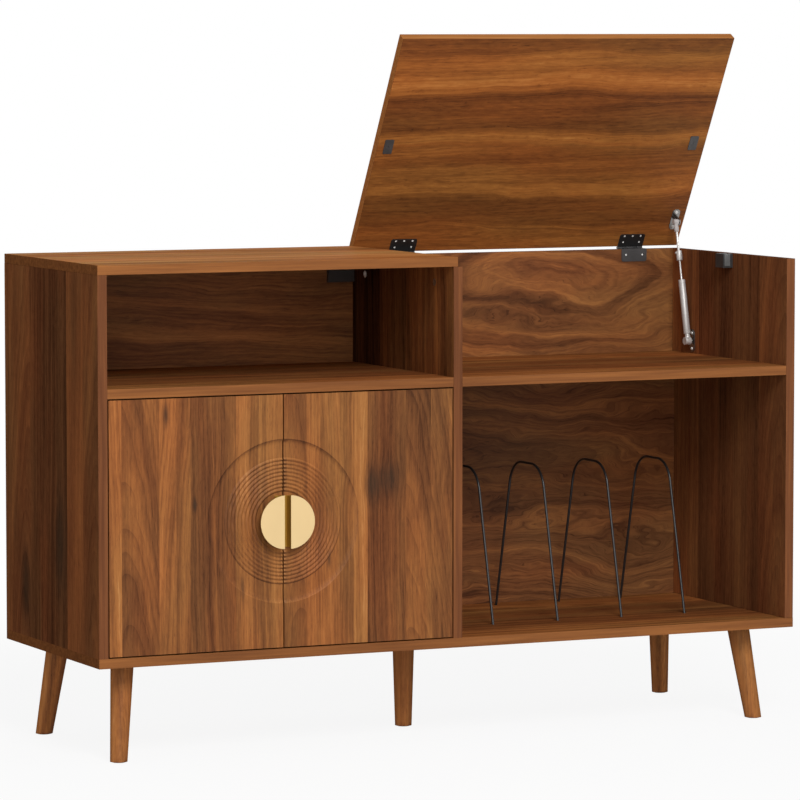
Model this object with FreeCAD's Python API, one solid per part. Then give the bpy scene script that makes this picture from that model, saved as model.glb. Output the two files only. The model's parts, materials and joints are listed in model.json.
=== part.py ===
"""Record cabinet on splayed legs: a lift-up lid over the turntable bay, an open shelf, a
two-door cupboard and a record bay with wire dividers.

Frame: millimetres, +X to the right, +Y to the back, +Z up.  The origin is the middle of the
cabinet's outer box, on the floor.  At rest the doors are shut and the lid stands open.
"""
import FreeCAD, Part
import math
import os

Vector = FreeCAD.Vector

# ---------------------------------------------------------------- driving dimensions
WIDTH = 1200.0
DEPTH = 400.0
CASE_HEIGHT = 610.0            # underside of the bottom board to the top of the top board
BOARD = 15.0                   # laminated particle board
LEG_HEIGHT = 150.0
SHELF_TOP_IN_CASE = 423.0      # top of both shelves above the underside of the bottom board

THIN_PANEL = 4.0               # hardboard backs that slide in grooves
THIN_PANEL_FROM_BACK = 17.0
GROOVE_DEPTH = 6.0
GROOVE_PLAY = 0.2

LID_OPEN_ANGLE = 60.5          # where the strut holds the lid
LID_SIDE_GAP = 1.0             # between the top board and the lid
LID_CLEARANCE = 1.9            # lid underside above the side panels when shut
LID_BACK_GAP = 0.8             # lid stops short of the back plane by this much

PIN_BEHIND_BACK = 1.6          # lid hinge pin, behind the back plane
PIN_ABOVE_RAIL = 2.0
PIN_RADIUS = 1.2
PIN_BORE = 1.25
KNUCKLE_RADIUS = 2.0
LEAF = 0.8
LEAF_WIDTH = 47.0
LID_LEAF_LENGTH = 24.0
RAIL_LEAF_HEIGHT = 20.5
LID_HINGE_OFFSET = 210.5       # hinge middles either side of the lid's middle
KNUCKLE_COUNT = 5
SCREW_HEAD_RADIUS = 2.5        # flat heads that lie flush in their countersinks
SCREW_HOLE_RADIUS = 1.5

DOOR = 18.0
DOOR_GAP = 2.0
DOOR_AXIS_FROM_EDGE = 4.0      # the upright line that a door turns about
DOOR_AXIS_BEHIND_FACE = 3.0
DOOR_OPENS = 95.0

RELIEF_RADIUS = 126.5          # outer edge of the round relief that both doors share
RELIEF_DEPTH = 2.6
RING_COUNT = 9
RING_FIRST_RADIUS = 48.0       # crest of the innermost ring
RING_PITCH = 5.84
RING_HEIGHT = 1.5              # crests above the floor of the relief

HANDLE_RADIUS = 41.1
HANDLE_CENTRE_FROM_SEAM = 3.9  # each half disc is turned about its own centre
HANDLE_SPLIT = 10.5            # gap between the two half discs
HANDLE_PROJECTION = 16.5       # in front of the case
HANDLE_PLATE = 2.5
HANDLE_BASE_WIDTH = 12.5

LEG_TOP_RADIUS = 17.9
LEG_FOOT_RADIUS = 13.3
LEG_PLATE = 2.0
LEG_PLATE_SIZE = 54.0
GLIDE = 1.0
GLIDE_RADIUS = 10.0

WIRE_RADIUS = 2.0
WIRE_FRONT_FOOT = 126.0        # from the front of the case
WIRE_BACK_FOOT = 350.0
WIRE_HEIGHT = 247.0            # above the bottom board
WIRE_BEND = 45.0
WIRE_LEAN = 13.5
WIRE_IN_BOARD = 8.0
RECORD_BAYS = 5

STRUT_FROM_PANEL = 9.0         # strut line to the side panel's face
STRUT_FOOT_FROM_FRONT = 314.5
STRUT_FOOT_IN_CASE = 444.0
STRUT_PIN_AHEAD = 58.2         # upper pivot ahead of the lid pin, lid shut
STRUT_PIN_BELOW = 15.5
TUBE_RADIUS = 5.7
TUBE_TOP = 103.0               # along the strut, from the lower pivot
ROD_RADIUS = 2.0
ROD_THIN_RADIUS = 1.6
COLLAR_RADIUS = 5.0
COLLAR_LENGTH = 16.0
COLLAR_MIDDLE = 144.0
COLLAR_TRAVEL = 30.3           # how far down the collar slides as the lid shuts
SOCKET_LENGTH = 17.0

# ---------------------------------------------------------------- places worked out from them
LEFT = -WIDTH / 2
RIGHT = WIDTH / 2
INNER_LEFT = LEFT + BOARD
INNER_RIGHT = RIGHT - BOARD
DIVIDER_LEFT = -BOARD / 2
DIVIDER_RIGHT = BOARD / 2

OPEN = math.radians(LID_OPEN_ANGLE)
LID_BACK_TO_PIN = PIN_BEHIND_BACK + LID_BACK_GAP
LID_TOP_ABOVE_PIN = LID_CLEARANCE + BOARD - PIN_ABOVE_RAIL
OPEN_LID_REACH = (PIN_BEHIND_BACK - math.cos(OPEN) * LID_BACK_TO_PIN
                  + math.sin(OPEN) * LID_TOP_ABOVE_PIN)
FRONT = -(DEPTH + OPEN_LID_REACH - HANDLE_PROJECTION) / 2
BACK = FRONT + DEPTH

BASE = LEG_HEIGHT
FLOOR = BASE + BOARD
TOP = BASE + CASE_HEIGHT
UNDER_TOP = TOP - BOARD
SHELF_TOP = BASE + SHELF_TOP_IN_CASE
SHELF_UNDER = SHELF_TOP - BOARD

PANEL_FRONT = BACK - THIN_PANEL_FROM_BACK - THIN_PANEL
RAIL_FRONT = BACK - BOARD
LID_LEFT = LID_SIDE_GAP
LID_MIDDLE = (LID_LEFT + RIGHT) / 2
PIN_Y = BACK + PIN_BEHIND_BACK
PIN_Z = UNDER_TOP + PIN_ABOVE_RAIL
LID_UNDER = UNDER_TOP + LID_CLEARANCE
LID_BACK = BACK - LID_BACK_GAP

SEAM = (INNER_LEFT + DIVIDER_LEFT) / 2
DOOR_BOTTOM = FLOOR + DOOR_GAP
DOOR_TOP = SHELF_UNDER - DOOR_GAP
DOOR_MIDDLE = (DOOR_BOTTOM + DOOR_TOP) / 2
DOOR_BACK = FRONT + DOOR

STRUT_X = INNER_RIGHT - STRUT_FROM_PANEL
STRUT_FOOT = Vector(STRUT_X, FRONT + STRUT_FOOT_FROM_FRONT, BASE + STRUT_FOOT_IN_CASE)
LID_PIN = Vector(0, PIN_Y, PIN_Z)
X_AXIS = Vector(1, 0, 0)
Y_AXIS = Vector(0, 1, 0)
Z_AXIS = Vector(0, 0, 1)

nodes = {}


# ---------------------------------------------------------------- helpers
def box(x0, x1, y0, y1, z0, z1):
    """A block between two corners."""
    return Part.makeBox(x1 - x0, y1 - y0, z1 - z0, Vector(x0, y0, z0))


def rod_between(start, end, radius):
    """A round bar from one point to another."""
    run = end - start
    return Part.makeCylinder(radius, run.Length, start, run)


def mirrored(shape, x):
    """The same shape on the other side of the plane at x."""
    return shape.mirror(Vector(x, 0, 0), X_AXIS)


def opened(shape):
    """A piece of the lid, made with the lid shut, turned to where the lid stands open."""
    turned = shape.copy()
    turned.rotate(LID_PIN, X_AXIS, -LID_OPEN_ANGLE)
    return turned


def rounded_plate(width, height, thickness, radius):
    """A plate in X and Z with round corners, centred on the origin, its back at y = 0."""
    plate = box(-width / 2, width / 2, -thickness, 0, -height / 2, height / 2)
    upright = [edge for edge in plate.Edges
               if abs(edge.tangentAt(edge.FirstParameter).y) > 0.99]
    return plate.makeFillet(radius, upright)


def screw_hole(place, direction):
    """A hole through a thin plate, from the face that the screw's head sits on."""
    before, through = 1.0, 4.0
    return Part.makeCylinder(SCREW_HOLE_RADIUS, before + through, place - direction * before,
                             direction)


def countersunk_hole(place, direction):
    """A screw hole opened out so that a flat head lies flush at place."""
    depth = SCREW_HEAD_RADIUS - SCREW_HOLE_RADIUS
    sink = Part.makeCone(SCREW_HEAD_RADIUS, SCREW_HOLE_RADIUS, depth, place, direction)
    return sink.fuse(screw_hole(place, direction))


def cut_all(shape, tools):
    """A shape less each of a list of tools."""
    return shape.cut(Part.makeCompound(tools)) if tools else shape


# ---------------------------------------------------------------- carcass boards
def leg_places():
    """Foot and head of each leg: name, foot x, foot y, head x, head y."""
    foot_in_x, foot_front, foot_back = 48.0, 43.5, 363.2
    splay_x, splay_y = 16.1, 24.7
    front_y, back_y = FRONT + foot_front, FRONT + foot_back
    left_x, right_x = LEFT + foot_in_x, RIGHT - foot_in_x
    return [
        ("front_left_leg", left_x, front_y, left_x + splay_x, front_y + splay_y),
        ("back_left_leg", left_x, back_y, left_x + splay_x, back_y - splay_y),
        ("centre_leg", 0.0, FRONT + 201.0, 0.0, FRONT + 201.0),
        ("back_right_leg", right_x, back_y, right_x - splay_x, back_y - splay_y),
        ("front_right_leg", right_x, front_y, right_x - splay_x, front_y + splay_y),
    ]


def wire_places():
    """X of each wire divider: they share the record bay out evenly."""
    bay = (INNER_RIGHT - DIVIDER_RIGHT) / RECORD_BAYS
    return [DIVIDER_RIGHT + bay * k for k in range(1, RECORD_BAYS)]


def groove(x0, x1, z0, z1):
    """The slot that a thin back panel slides in."""
    return box(x0, x1, PANEL_FRONT - GROOVE_PLAY / 2,
               PANEL_FRONT + THIN_PANEL + GROOVE_PLAY / 2, z0, z1)


def left_groove():
    return groove(INNER_LEFT - GROOVE_DEPTH, DIVIDER_LEFT + GROOVE_DEPTH,
                  FLOOR - GROOVE_DEPTH, UNDER_TOP + GROOVE_DEPTH)


def right_groove():
    return groove(DIVIDER_RIGHT - GROOVE_DEPTH, INNER_RIGHT + GROOVE_DEPTH,
                  FLOOR - GROOVE_DEPTH, SHELF_UNDER + GROOVE_DEPTH)


def make_carcass():
    wire_holes = []
    for x in wire_places():
        for foot, lean in ((WIRE_FRONT_FOOT, 1), (WIRE_BACK_FOOT, -1)):
            at_face = Vector(x, FRONT + foot, FLOOR)
            run = Vector(0, lean * math.sin(math.radians(WIRE_LEAN)),
                         math.cos(math.radians(WIRE_LEAN)))
            below = WIRE_IN_BOARD / run.z
            wire_holes.append(rod_between(at_face - run * below, at_face + run * 3.0,
                                          WIRE_RADIUS + 0.05))
    bottom = box(LEFT, RIGHT, FRONT, BACK, BASE, FLOOR)
    nodes["bottom_board"] = cut_all(bottom, [left_groove(), right_groove()] + wire_holes)

    left_side = box(LEFT, INNER_LEFT, FRONT, BACK, FLOOR, UNDER_TOP)
    nodes["left_side_panel"] = cut_all(left_side, [left_groove()] + cam_pockets("left"))
    right_side = box(INNER_RIGHT, RIGHT, FRONT, BACK, FLOOR, UNDER_TOP)
    nodes["right_side_panel"] = right_side.cut(right_groove())

    divider = box(DIVIDER_LEFT, DIVIDER_RIGHT, FRONT, BACK, FLOOR, UNDER_TOP)
    nodes["centre_divider"] = cut_all(divider, [left_groove(), right_groove()]
                                      + cam_pockets("divider"))

    top = box(LEFT, 0.0, FRONT, BACK, UNDER_TOP, TOP)
    nodes["top_board"] = top.cut(left_groove())

    nodes["left_shelf"] = box(INNER_LEFT, DIVIDER_LEFT, FRONT, PANEL_FRONT,
                              SHELF_UNDER, SHELF_TOP)
    right_shelf = box(DIVIDER_RIGHT, INNER_RIGHT, FRONT, BACK, SHELF_UNDER, SHELF_TOP)
    nodes["right_shelf"] = right_shelf.cut(right_groove())
    nodes["lid_rail_panel"] = box(DIVIDER_RIGHT, INNER_RIGHT, RAIL_FRONT, BACK,
                                  SHELF_TOP, UNDER_TOP)


def make_thin_backs():
    """Hardboard backs; each stands 1 mm short of the bottom of its grooves."""
    reach = GROOVE_DEPTH - 1.0
    nodes["left_back_panel"] = box(
        INNER_LEFT - reach, DIVIDER_LEFT + reach, PANEL_FRONT, PANEL_FRONT + THIN_PANEL,
        FLOOR - reach, UNDER_TOP + reach)
    nodes["record_bay_back_panel"] = box(
        DIVIDER_RIGHT - reach, INNER_RIGHT + reach, PANEL_FRONT, PANEL_FRONT + THIN_PANEL,
        FLOOR - reach, SHELF_UNDER + reach)


# ---------------------------------------------------------------- cam locks and corner brace
CAM_RADIUS = 5.8
CAM_DEPTH = 11.0
CAM_BELOW_TOP = 27.5
CAM_FROM_FRONT = (70.0, 331.0)
CROSS_LENGTH, CROSS_WIDTH, CROSS_DEPTH = 7.0, 1.6, 1.6


def cam_pockets(board, radius=CAM_RADIUS + 0.1, depth=CAM_DEPTH):
    """Blind pockets for the cam locks that pull the top board down."""
    x, direction = {"left": (INNER_LEFT, X_AXIS.negative()),
                    "divider": (DIVIDER_LEFT, X_AXIS)}[board]
    return [Part.makeCylinder(radius, depth,
                              Vector(x, FRONT + y, UNDER_TOP - CAM_BELOW_TOP), direction)
            for y in CAM_FROM_FRONT]


def make_cam_locks():
    locks = []
    for board, face_x in (("left", INNER_LEFT), ("divider", DIVIDER_LEFT)):
        for cam in cam_pockets(board, CAM_RADIUS, CAM_DEPTH):
            middle = cam.BoundBox.Center
            cross = [box(face_x - CROSS_DEPTH, face_x + CROSS_DEPTH, middle.y - across / 2,
                         middle.y + across / 2, middle.z - up / 2, middle.z + up / 2)
                     for across, up in ((CROSS_LENGTH, CROSS_WIDTH), (CROSS_WIDTH, CROSS_LENGTH))]
            locks.append(cut_all(cam, cross))
    nodes["cam_locks"] = Part.makeCompound(locks)


def make_corner_brace():
    """A moulded brace that holds the hardboard back against the top board and divider."""
    width, height, thickness, corner = 46.0, 42.0, 7.0, 1.5
    x1, z1 = DIVIDER_LEFT, UNDER_TOP
    plate = box(x1 - width, x1, PANEL_FRONT - thickness, PANEL_FRONT, z1 - height, z1)
    front_rim = [edge for edge in plate.Edges
                 if edge.BoundBox.YMax < PANEL_FRONT - thickness + 0.1
                 and edge.BoundBox.ZMax < z1 - 0.1]
    nodes["back_corner_brace"] = plate.makeFillet(corner, front_rim)


# ---------------------------------------------------------------- legs
BOLT_RADIUS, BOLT_IN_LEG = 3.9, 34.0
PLATE_CORNER = 8.0


def make_legs():
    """Tapered legs, cut level at the floor and under their plates, whatever their splay."""
    plates, glides, bolts = [], [], []
    wood_top = BASE - LEG_PLATE
    over = 12.0
    for name, foot_x, foot_y, head_x, head_y in leg_places():
        foot, head = Vector(foot_x, foot_y, 0), Vector(head_x, head_y, BASE)
        length = (head - foot).Length
        run = (head - foot).normalize()
        slope = (LEG_TOP_RADIUS - LEG_FOOT_RADIUS) / length
        cone = Part.makeCone(LEG_FOOT_RADIUS - slope * over, LEG_TOP_RADIUS + slope * over,
                             length + 2 * over, foot - run * over, run)
        bolt_low, bolt_high = head - run * BOLT_IN_LEG, head + run * over
        hole = rod_between(bolt_low, bolt_high, BOLT_RADIUS + 0.1)
        reach = LEG_PLATE_SIZE
        between = box(foot_x - reach, foot_x + reach, foot_y - reach, foot_y + reach,
                      GLIDE, wood_top)
        nodes[name] = cone.common(between).cut(hole)
        bolt = rod_between(bolt_low, bolt_high, BOLT_RADIUS)
        bolts.append(bolt.common(box(head_x - reach, head_x + reach, head_y - reach,
                                     head_y + reach, 0, BASE)))
        half = LEG_PLATE_SIZE / 2
        plate = box(head_x - half, head_x + half, head_y - half, head_y + half,
                    wood_top, BASE)
        plate = plate.makeFillet(PLATE_CORNER, [edge for edge in plate.Edges
                                                if edge.BoundBox.ZLength > LEG_PLATE - 0.1])
        plates.append(plate.cut(hole))
        glides.append(Part.makeCylinder(GLIDE_RADIUS, GLIDE, Vector(foot_x, foot_y, 0)))
    nodes["leg_plates"] = Part.makeCompound(plates)
    nodes["leg_glides"] = Part.makeCompound(glides)
    nodes["leg_hanger_bolts"] = Part.makeCompound(bolts)


# ---------------------------------------------------------------- wire record dividers
def wire_path(x):
    """One hoop: two leaning legs and a flat top, joined by two tangent bends."""
    lean = math.radians(WIRE_LEAN)
    foot_z = FLOOR - WIRE_IN_BOARD
    top_z = FLOOR + WIRE_HEIGHT - WIRE_RADIUS
    centre_z = top_z - WIRE_BEND
    tangent = Vector(0, -WIRE_BEND * math.cos(lean), WIRE_BEND * math.sin(lean))
    halfway = math.radians(45.0 + WIRE_LEAN / 2)
    mid = Vector(0, -WIRE_BEND * math.cos(halfway), WIRE_BEND * math.sin(halfway))
    rise = centre_z + tangent.z - FLOOR
    front_y = FRONT + WIRE_FRONT_FOOT
    centre_y = front_y + rise * math.tan(lean) - tangent.y
    foot = Vector(x, front_y - WIRE_IN_BOARD * math.tan(lean), foot_z)
    centre = Vector(x, centre_y, centre_z)
    middle_y = FRONT + (WIRE_FRONT_FOOT + WIRE_BACK_FOOT) / 2

    def back(point):
        return Vector(point.x, 2 * middle_y - point.y, point.z)

    low, high = centre + tangent, Vector(x, centre_y, top_z)
    edges = [
        Part.LineSegment(foot, low).toShape(),
        Part.Arc(low, centre + mid, high).toShape(),
        Part.LineSegment(high, back(high)).toShape(),
        Part.Arc(back(high), back(centre + mid), back(low)).toShape(),
        Part.LineSegment(back(low), back(foot)).toShape(),
    ]
    return Part.Wire(edges), foot, (low - foot).normalize()


def make_wires():
    for number, x in enumerate(wire_places(), start=1):
        path, foot, start = wire_path(x)
        section = Part.Wire(Part.makeCircle(WIRE_RADIUS, foot, start))
        hoop = path.makePipeShell([section], True, False)
        nodes["wire_divider_%d" % number] = hoop


# ---------------------------------------------------------------- lid and its hinges
RAIL_SCREW_BELOW, RAIL_SCREW_OUT = 9.2, 15.3
LID_SCREW_FAR, LID_SCREW_NEAR = 20.6, 8.8      # rows of screws, ahead of the lid's back edge
LID_SCREW_OUT = 15.0
LEAF_CORNER = 4.0
KNUCKLE_GAP = 0.15


def lid_hinge_middles():
    return [("left", LID_MIDDLE - LID_HINGE_OFFSET), ("right", LID_MIDDLE + LID_HINGE_OFFSET)]


def lid_leaf_screw_places(x):
    """Five screws in the lid leaf: three in the far row, two in the near row."""
    rows = [(LID_SCREW_FAR, (-LID_SCREW_OUT, 0, LID_SCREW_OUT)),
            (LID_SCREW_NEAR, (-LID_SCREW_OUT, LID_SCREW_OUT))]
    return [Vector(x + dx, LID_BACK - ahead, LID_UNDER - LEAF)
            for ahead, across in rows for dx in across]


def rail_leaf_screw_places(x):
    return [Vector(x + dx, RAIL_FRONT - LEAF, UNDER_TOP - RAIL_SCREW_BELOW)
            for dx in (-RAIL_SCREW_OUT, RAIL_SCREW_OUT)]


def knuckles(x, first):
    """Start and end of every second knuckle of a hinge, from the first one given."""
    pitch = LEAF_WIDTH / KNUCKLE_COUNT
    rings = []
    for k in range(first, KNUCKLE_COUNT, 2):
        start = x - LEAF_WIDTH / 2 + k * pitch + (KNUCKLE_GAP if k else 0)
        end = x - LEAF_WIDTH / 2 + (k + 1) * pitch
        end -= KNUCKLE_GAP if k < KNUCKLE_COUNT - 1 else 0
        rings.append((start, end))
    return rings


def rolled_knuckle(start, end, z, reach):
    """One knuckle round the pin, and the tongue of its leaf that it is rolled from."""
    ring = Part.makeCylinder(KNUCKLE_RADIUS, end - start, Vector(start, PIN_Y, PIN_Z), X_AXIS)
    tongue = box(start, end, LID_BACK - 1, reach, z, z + LEAF)
    return [ring, tongue]


def make_lid_hinge(side, x):
    half = LEAF_WIDTH / 2
    pin_start = Vector(x - half, PIN_Y, PIN_Z)
    pin = Part.makeCylinder(PIN_RADIUS, LEAF_WIDTH, pin_start, X_AXIS)
    running_bore = Part.makeCylinder(PIN_BORE, LEAF_WIDTH, pin_start, X_AXIS)

    # the rail leaf hangs down the front of the rail panel and bends back over its top
    upright = rounded_plate(LEAF_WIDTH, RAIL_LEAF_HEIGHT * 2, LEAF, LEAF_CORNER)
    upright.translate(Vector(x, RAIL_FRONT, UNDER_TOP))
    upright = upright.common(box(x - half, x + half, RAIL_FRONT - LEAF, RAIL_FRONT,
                                 UNDER_TOP - RAIL_LEAF_HEIGHT, UNDER_TOP + LEAF))
    flange = box(x - half, x + half, RAIL_FRONT - LEAF, LID_BACK, UNDER_TOP,
                 UNDER_TOP + LEAF)
    fixed = upright.fuse(flange)
    for start, end in knuckles(x, 0):
        fixed = fixed.fuse(rolled_knuckle(start, end, UNDER_TOP, PIN_Y))
    holes = [countersunk_hole(place, Y_AXIS) for place in rail_leaf_screw_places(x)]
    nodes[side + "_lid_hinge_rail_leaf"] = cut_all(fixed.removeSplitter(), holes + [pin])

    # the lid leaf lies flat on the underside of the lid
    leaf_low = LID_UNDER - LEAF
    plate = box(x - half, x + half, LID_BACK - LID_LEAF_LENGTH, LID_BACK, leaf_low, LID_UNDER)
    far_corners = [edge for edge in plate.Edges
                   if edge.BoundBox.ZLength > LEAF - 0.1
                   and edge.BoundBox.YMax < LID_BACK - 1]
    moving = plate.makeFillet(LEAF_CORNER, far_corners)
    for start, end in knuckles(x, 1):
        moving = moving.fuse(rolled_knuckle(start, end, leaf_low, PIN_Y - PIN_BORE))
    holes = [countersunk_hole(place, Z_AXIS) for place in lid_leaf_screw_places(x)]
    moving = cut_all(moving.removeSplitter(), holes + [running_bore])
    nodes[side + "_lid_hinge_lid_leaf"] = opened(moving)
    nodes[side + "_lid_hinge_pin"] = pin


def make_lid():
    nodes["lid_panel"] = opened(
        box(LID_LEFT, RIGHT, FRONT, LID_BACK, LID_UNDER, LID_UNDER + BOARD))


# ---------------------------------------------------------------- magnetic lid catches
STRIKE_FROM_FRONT = 199.0
STRIKE_WIDTH, STRIKE_LENGTH, STRIKE = 15.5, 26.0, 1.2
STRIKE_ASIDE = {"left": 4.0, "right": 1.0}     # to the right of the catch's middle
CATCH_FROM_FRONT = 192.0
CATCH_WIDTH, CATCH_LENGTH, CATCH_HEIGHT = 18.0, 26.0, 23.0
CATCH_WALL = 3.0
CORE_WIDTH = 10.4
CORE_ASIDE = {"left": 2.0, "right": -1.0}
POLE_PLATE, POLE_SPREAD, POLE_PROUD = 2.4, 4.0, 0.3
MAGNET_WIDTH = 5.6


def catch_places():
    """The middles of the catches on the divider and on the right side panel."""
    return [("left", DIVIDER_RIGHT + CATCH_WIDTH / 2), ("right", INNER_RIGHT - CATCH_WIDTH / 2)]


def make_strike(x):
    y = FRONT + STRIKE_FROM_FRONT
    plate = box(x - STRIKE_WIDTH / 2, x + STRIKE_WIDTH / 2, y - STRIKE_LENGTH / 2,
                y + STRIKE_LENGTH / 2, LID_UNDER - STRIKE, LID_UNDER)
    plate = plate.makeFillet(2.0, [edge for edge in plate.Edges
                                   if edge.BoundBox.ZLength > STRIKE - 0.1])
    return plate.cut(countersunk_hole(Vector(x, y, LID_UNDER - STRIKE), Z_AXIS))


def make_catches():
    """Magnetic catches level with the panel tops, and the steel plates that land on them."""
    magnets = []
    y0 = FRONT + CATCH_FROM_FRONT - CATCH_LENGTH / 2
    y1 = y0 + CATCH_LENGTH
    z1 = UNDER_TOP
    z0 = z1 - CATCH_HEIGHT
    core_y1, core_z0 = y1 - CATCH_WALL, z0 + CATCH_WALL
    for side, x in catch_places():
        nodes[side + "_strike_plate"] = opened(make_strike(x + STRIKE_ASIDE[side]))
        housing = box(x - CATCH_WIDTH / 2, x + CATCH_WIDTH / 2, y0, y1, z0, z1)
        core_x = x + CORE_ASIDE[side]
        core = box(core_x - CORE_WIDTH / 2, core_x + CORE_WIDTH / 2, y0 - 1, core_y1,
                   core_z0, z1 + 1)
        nodes[side + "_lid_catch"] = housing.cut(core)
        for pole_x in (core_x - POLE_SPREAD, core_x + POLE_SPREAD):
            magnets.append(box(pole_x - POLE_PLATE / 2, pole_x + POLE_PLATE / 2, y0 + 0.4,
                               core_y1, core_z0, z1 + POLE_PROUD))
        magnets.append(box(core_x - MAGNET_WIDTH / 2, core_x + MAGNET_WIDTH / 2, y0 + 1.2,
                           core_y1, core_z0, z1 - 0.6))
    nodes["lid_catch_magnets"] = Part.makeCompound(magnets)


# ---------------------------------------------------------------- lid strut
BRACKET = 1.5
SIDE_BRACKET_WIDTH, SIDE_BRACKET_LENGTH, SIDE_BRACKET_SCREW = 16.0, 38.0, 13.0
BALL_RADIUS, NECK_RADIUS = 4.0, 2.3
BALL_CUP_RADIUS, BALL_CUP_LENGTH = 6.5, 10.5
STEM_RADIUS = 4.2
TUBE_FOOT, BORE_FOOT = 12.0, 24.0
BORE_RADIUS, TUBE_CAP = 4.0, 3.0
RUNNING_PLAY = 0.05
PISTON_LENGTH, PISTON_BELOW_CAP = 6.0, 7.0
ROD_IN_FITTING = 5.5
STEP_BELOW_COLLAR = 0.4
KNOB = 1.6
PIVOT_RADIUS, RIVET_HEAD_RADIUS, RIVET_HEAD = 2.25, 3.4, 1.0
EYE_RADIUS, EYE_LENGTH, SHANK_RADIUS = 5.0, 7.5, 3.9
EAR_RADIUS, EAR, EAR_GAP = 5.5, 2.0, 0.8
LID_BRACKET_WIDTH, LID_BRACKET_LENGTH = 14.0, 39.0
LID_BRACKET_SCREWS = (-10.0, 17.5)             # behind the upper pivot


def strut_pin_shut():
    return Vector(STRUT_X, PIN_Y - STRUT_PIN_AHEAD, PIN_Z - STRUT_PIN_BELOW)


def strut_pin_open():
    turn = FreeCAD.Rotation(X_AXIS, -LID_OPEN_ANGLE)
    return LID_PIN + turn.multVec(strut_pin_shut() - LID_PIN)


STRUT_LENGTH = (strut_pin_open() - STRUT_FOOT).Length
STRUT_RUN = (strut_pin_open() - STRUT_FOOT).normalize()


def along_strut(distance):
    return STRUT_FOOT + STRUT_RUN * distance


def oval_plate(width, length, thickness):
    """A plate in X and Y with half-round ends, on z = 0, centred on the origin."""
    radius = width / 2
    straight = length / 2 - radius
    plate = box(-radius, radius, -straight, straight, 0, thickness)
    for y in (-straight, straight):
        plate = plate.fuse(Part.makeCylinder(radius, thickness, Vector(0, y, 0)))
    return plate.removeSplitter()


def make_side_bracket():
    """The upright oval plate on the side panel, with its neck and ball."""
    plate = oval_plate(SIDE_BRACKET_WIDTH, SIDE_BRACKET_LENGTH, BRACKET)
    upright = FreeCAD.Rotation(Y_AXIS, -90).multiply(FreeCAD.Rotation(Z_AXIS, 90))
    plate.Placement = FreeCAD.Placement(STRUT_FOOT + X_AXIS * STRUT_FROM_PANEL, upright)
    plate_face = STRUT_FROM_PANEL - BRACKET
    neck = rod_between(STRUT_FOOT, STRUT_FOOT + X_AXIS * plate_face, NECK_RADIUS)
    ball = Part.makeSphere(BALL_RADIUS, STRUT_FOOT)
    holes = [screw_hole(STRUT_FOOT + Vector(plate_face, 0, dz), X_AXIS)
             for dz in (-SIDE_BRACKET_SCREW, SIDE_BRACKET_SCREW)]
    nodes["strut_side_bracket"] = cut_all(plate.fuse([neck, ball]).removeSplitter(), holes)


def make_tube():
    """The tube: a socket on the ball, a bore for the piston and a throat for the rod."""
    ball_cup = Part.makeCylinder(BALL_CUP_RADIUS, BALL_CUP_LENGTH,
                                 STRUT_FOOT - X_AXIS * BALL_CUP_RADIUS, X_AXIS)
    stem = rod_between(along_strut(BALL_RADIUS), along_strut(TUBE_FOOT + 1.0), STEM_RADIUS)
    barrel = rod_between(along_strut(TUBE_FOOT), along_strut(TUBE_TOP), TUBE_RADIUS)
    cavity = Part.makeSphere(BALL_RADIUS + RUNNING_PLAY, STRUT_FOOT)
    mouth = Part.makeCylinder(NECK_RADIUS + 1.0, 2 * BALL_CUP_RADIUS, STRUT_FOOT, X_AXIS)
    bore = rod_between(along_strut(BORE_FOOT), along_strut(TUBE_TOP - TUBE_CAP), BORE_RADIUS)
    throat = rod_between(along_strut(TUBE_TOP - TUBE_CAP - 1.0), along_strut(TUBE_TOP + 1.0),
                         ROD_RADIUS + RUNNING_PLAY)
    body = ball_cup.fuse([stem, barrel]).removeSplitter()
    nodes["strut_tube"] = cut_all(body, [cavity, mouth, bore, throat])


def make_rod():
    """The stepped rod and its piston, and the fitting pressed on its upper end."""
    fitting_low = STRUT_LENGTH - SOCKET_LENGTH
    rod_top = fitting_low + ROD_IN_FITTING
    step = COLLAR_MIDDLE - COLLAR_LENGTH / 2 - STEP_BELOW_COLLAR
    piston_top = TUBE_TOP - PISTON_BELOW_CAP
    piston = rod_between(along_strut(piston_top - PISTON_LENGTH), along_strut(piston_top),
                         BORE_RADIUS - RUNNING_PLAY)
    thin = rod_between(along_strut(piston_top - PISTON_LENGTH), along_strut(step + 1.0),
                       ROD_THIN_RADIUS)
    thick = rod_between(along_strut(step), along_strut(rod_top), ROD_RADIUS)
    nodes["strut_rod"] = piston.fuse([thin, thick]).removeSplitter()

    pin = strut_pin_open()
    half = EYE_LENGTH / 2
    eye = Part.makeCylinder(EYE_RADIUS, EYE_LENGTH, pin - X_AXIS * half, X_AXIS)
    shank = rod_between(along_strut(fitting_low + 1.0), along_strut(STRUT_LENGTH - 1.0),
                        SHANK_RADIUS)
    rod_hole = rod_between(along_strut(fitting_low - 1.0), along_strut(rod_top),
                           ROD_RADIUS + 0.01)
    rivet_head = Part.makeCylinder(RIVET_HEAD_RADIUS, RIVET_HEAD,
                                   pin - X_AXIS * (half + RIVET_HEAD), X_AXIS)
    fitting = eye.fuse([shank, rivet_head]).removeSplitter()
    nodes["strut_end_fitting"] = fitting.cut(rod_hole)


def make_collar():
    """The stop collar that slides on the rod, with its little release knob."""
    low, high = COLLAR_MIDDLE - COLLAR_LENGTH / 2, COLLAR_MIDDLE + COLLAR_LENGTH / 2
    collar = rod_between(along_strut(low), along_strut(high), COLLAR_RADIUS)
    knob = Part.makeCylinder(KNOB, COLLAR_RADIUS + KNOB, along_strut(high - 3.0), -X_AXIS)
    bore = rod_between(along_strut(low - 1.0), along_strut(high + 1.0),
                       ROD_RADIUS + RUNNING_PLAY)
    nodes["strut_collar"] = collar.fuse(knob).cut(bore).removeSplitter()


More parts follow.
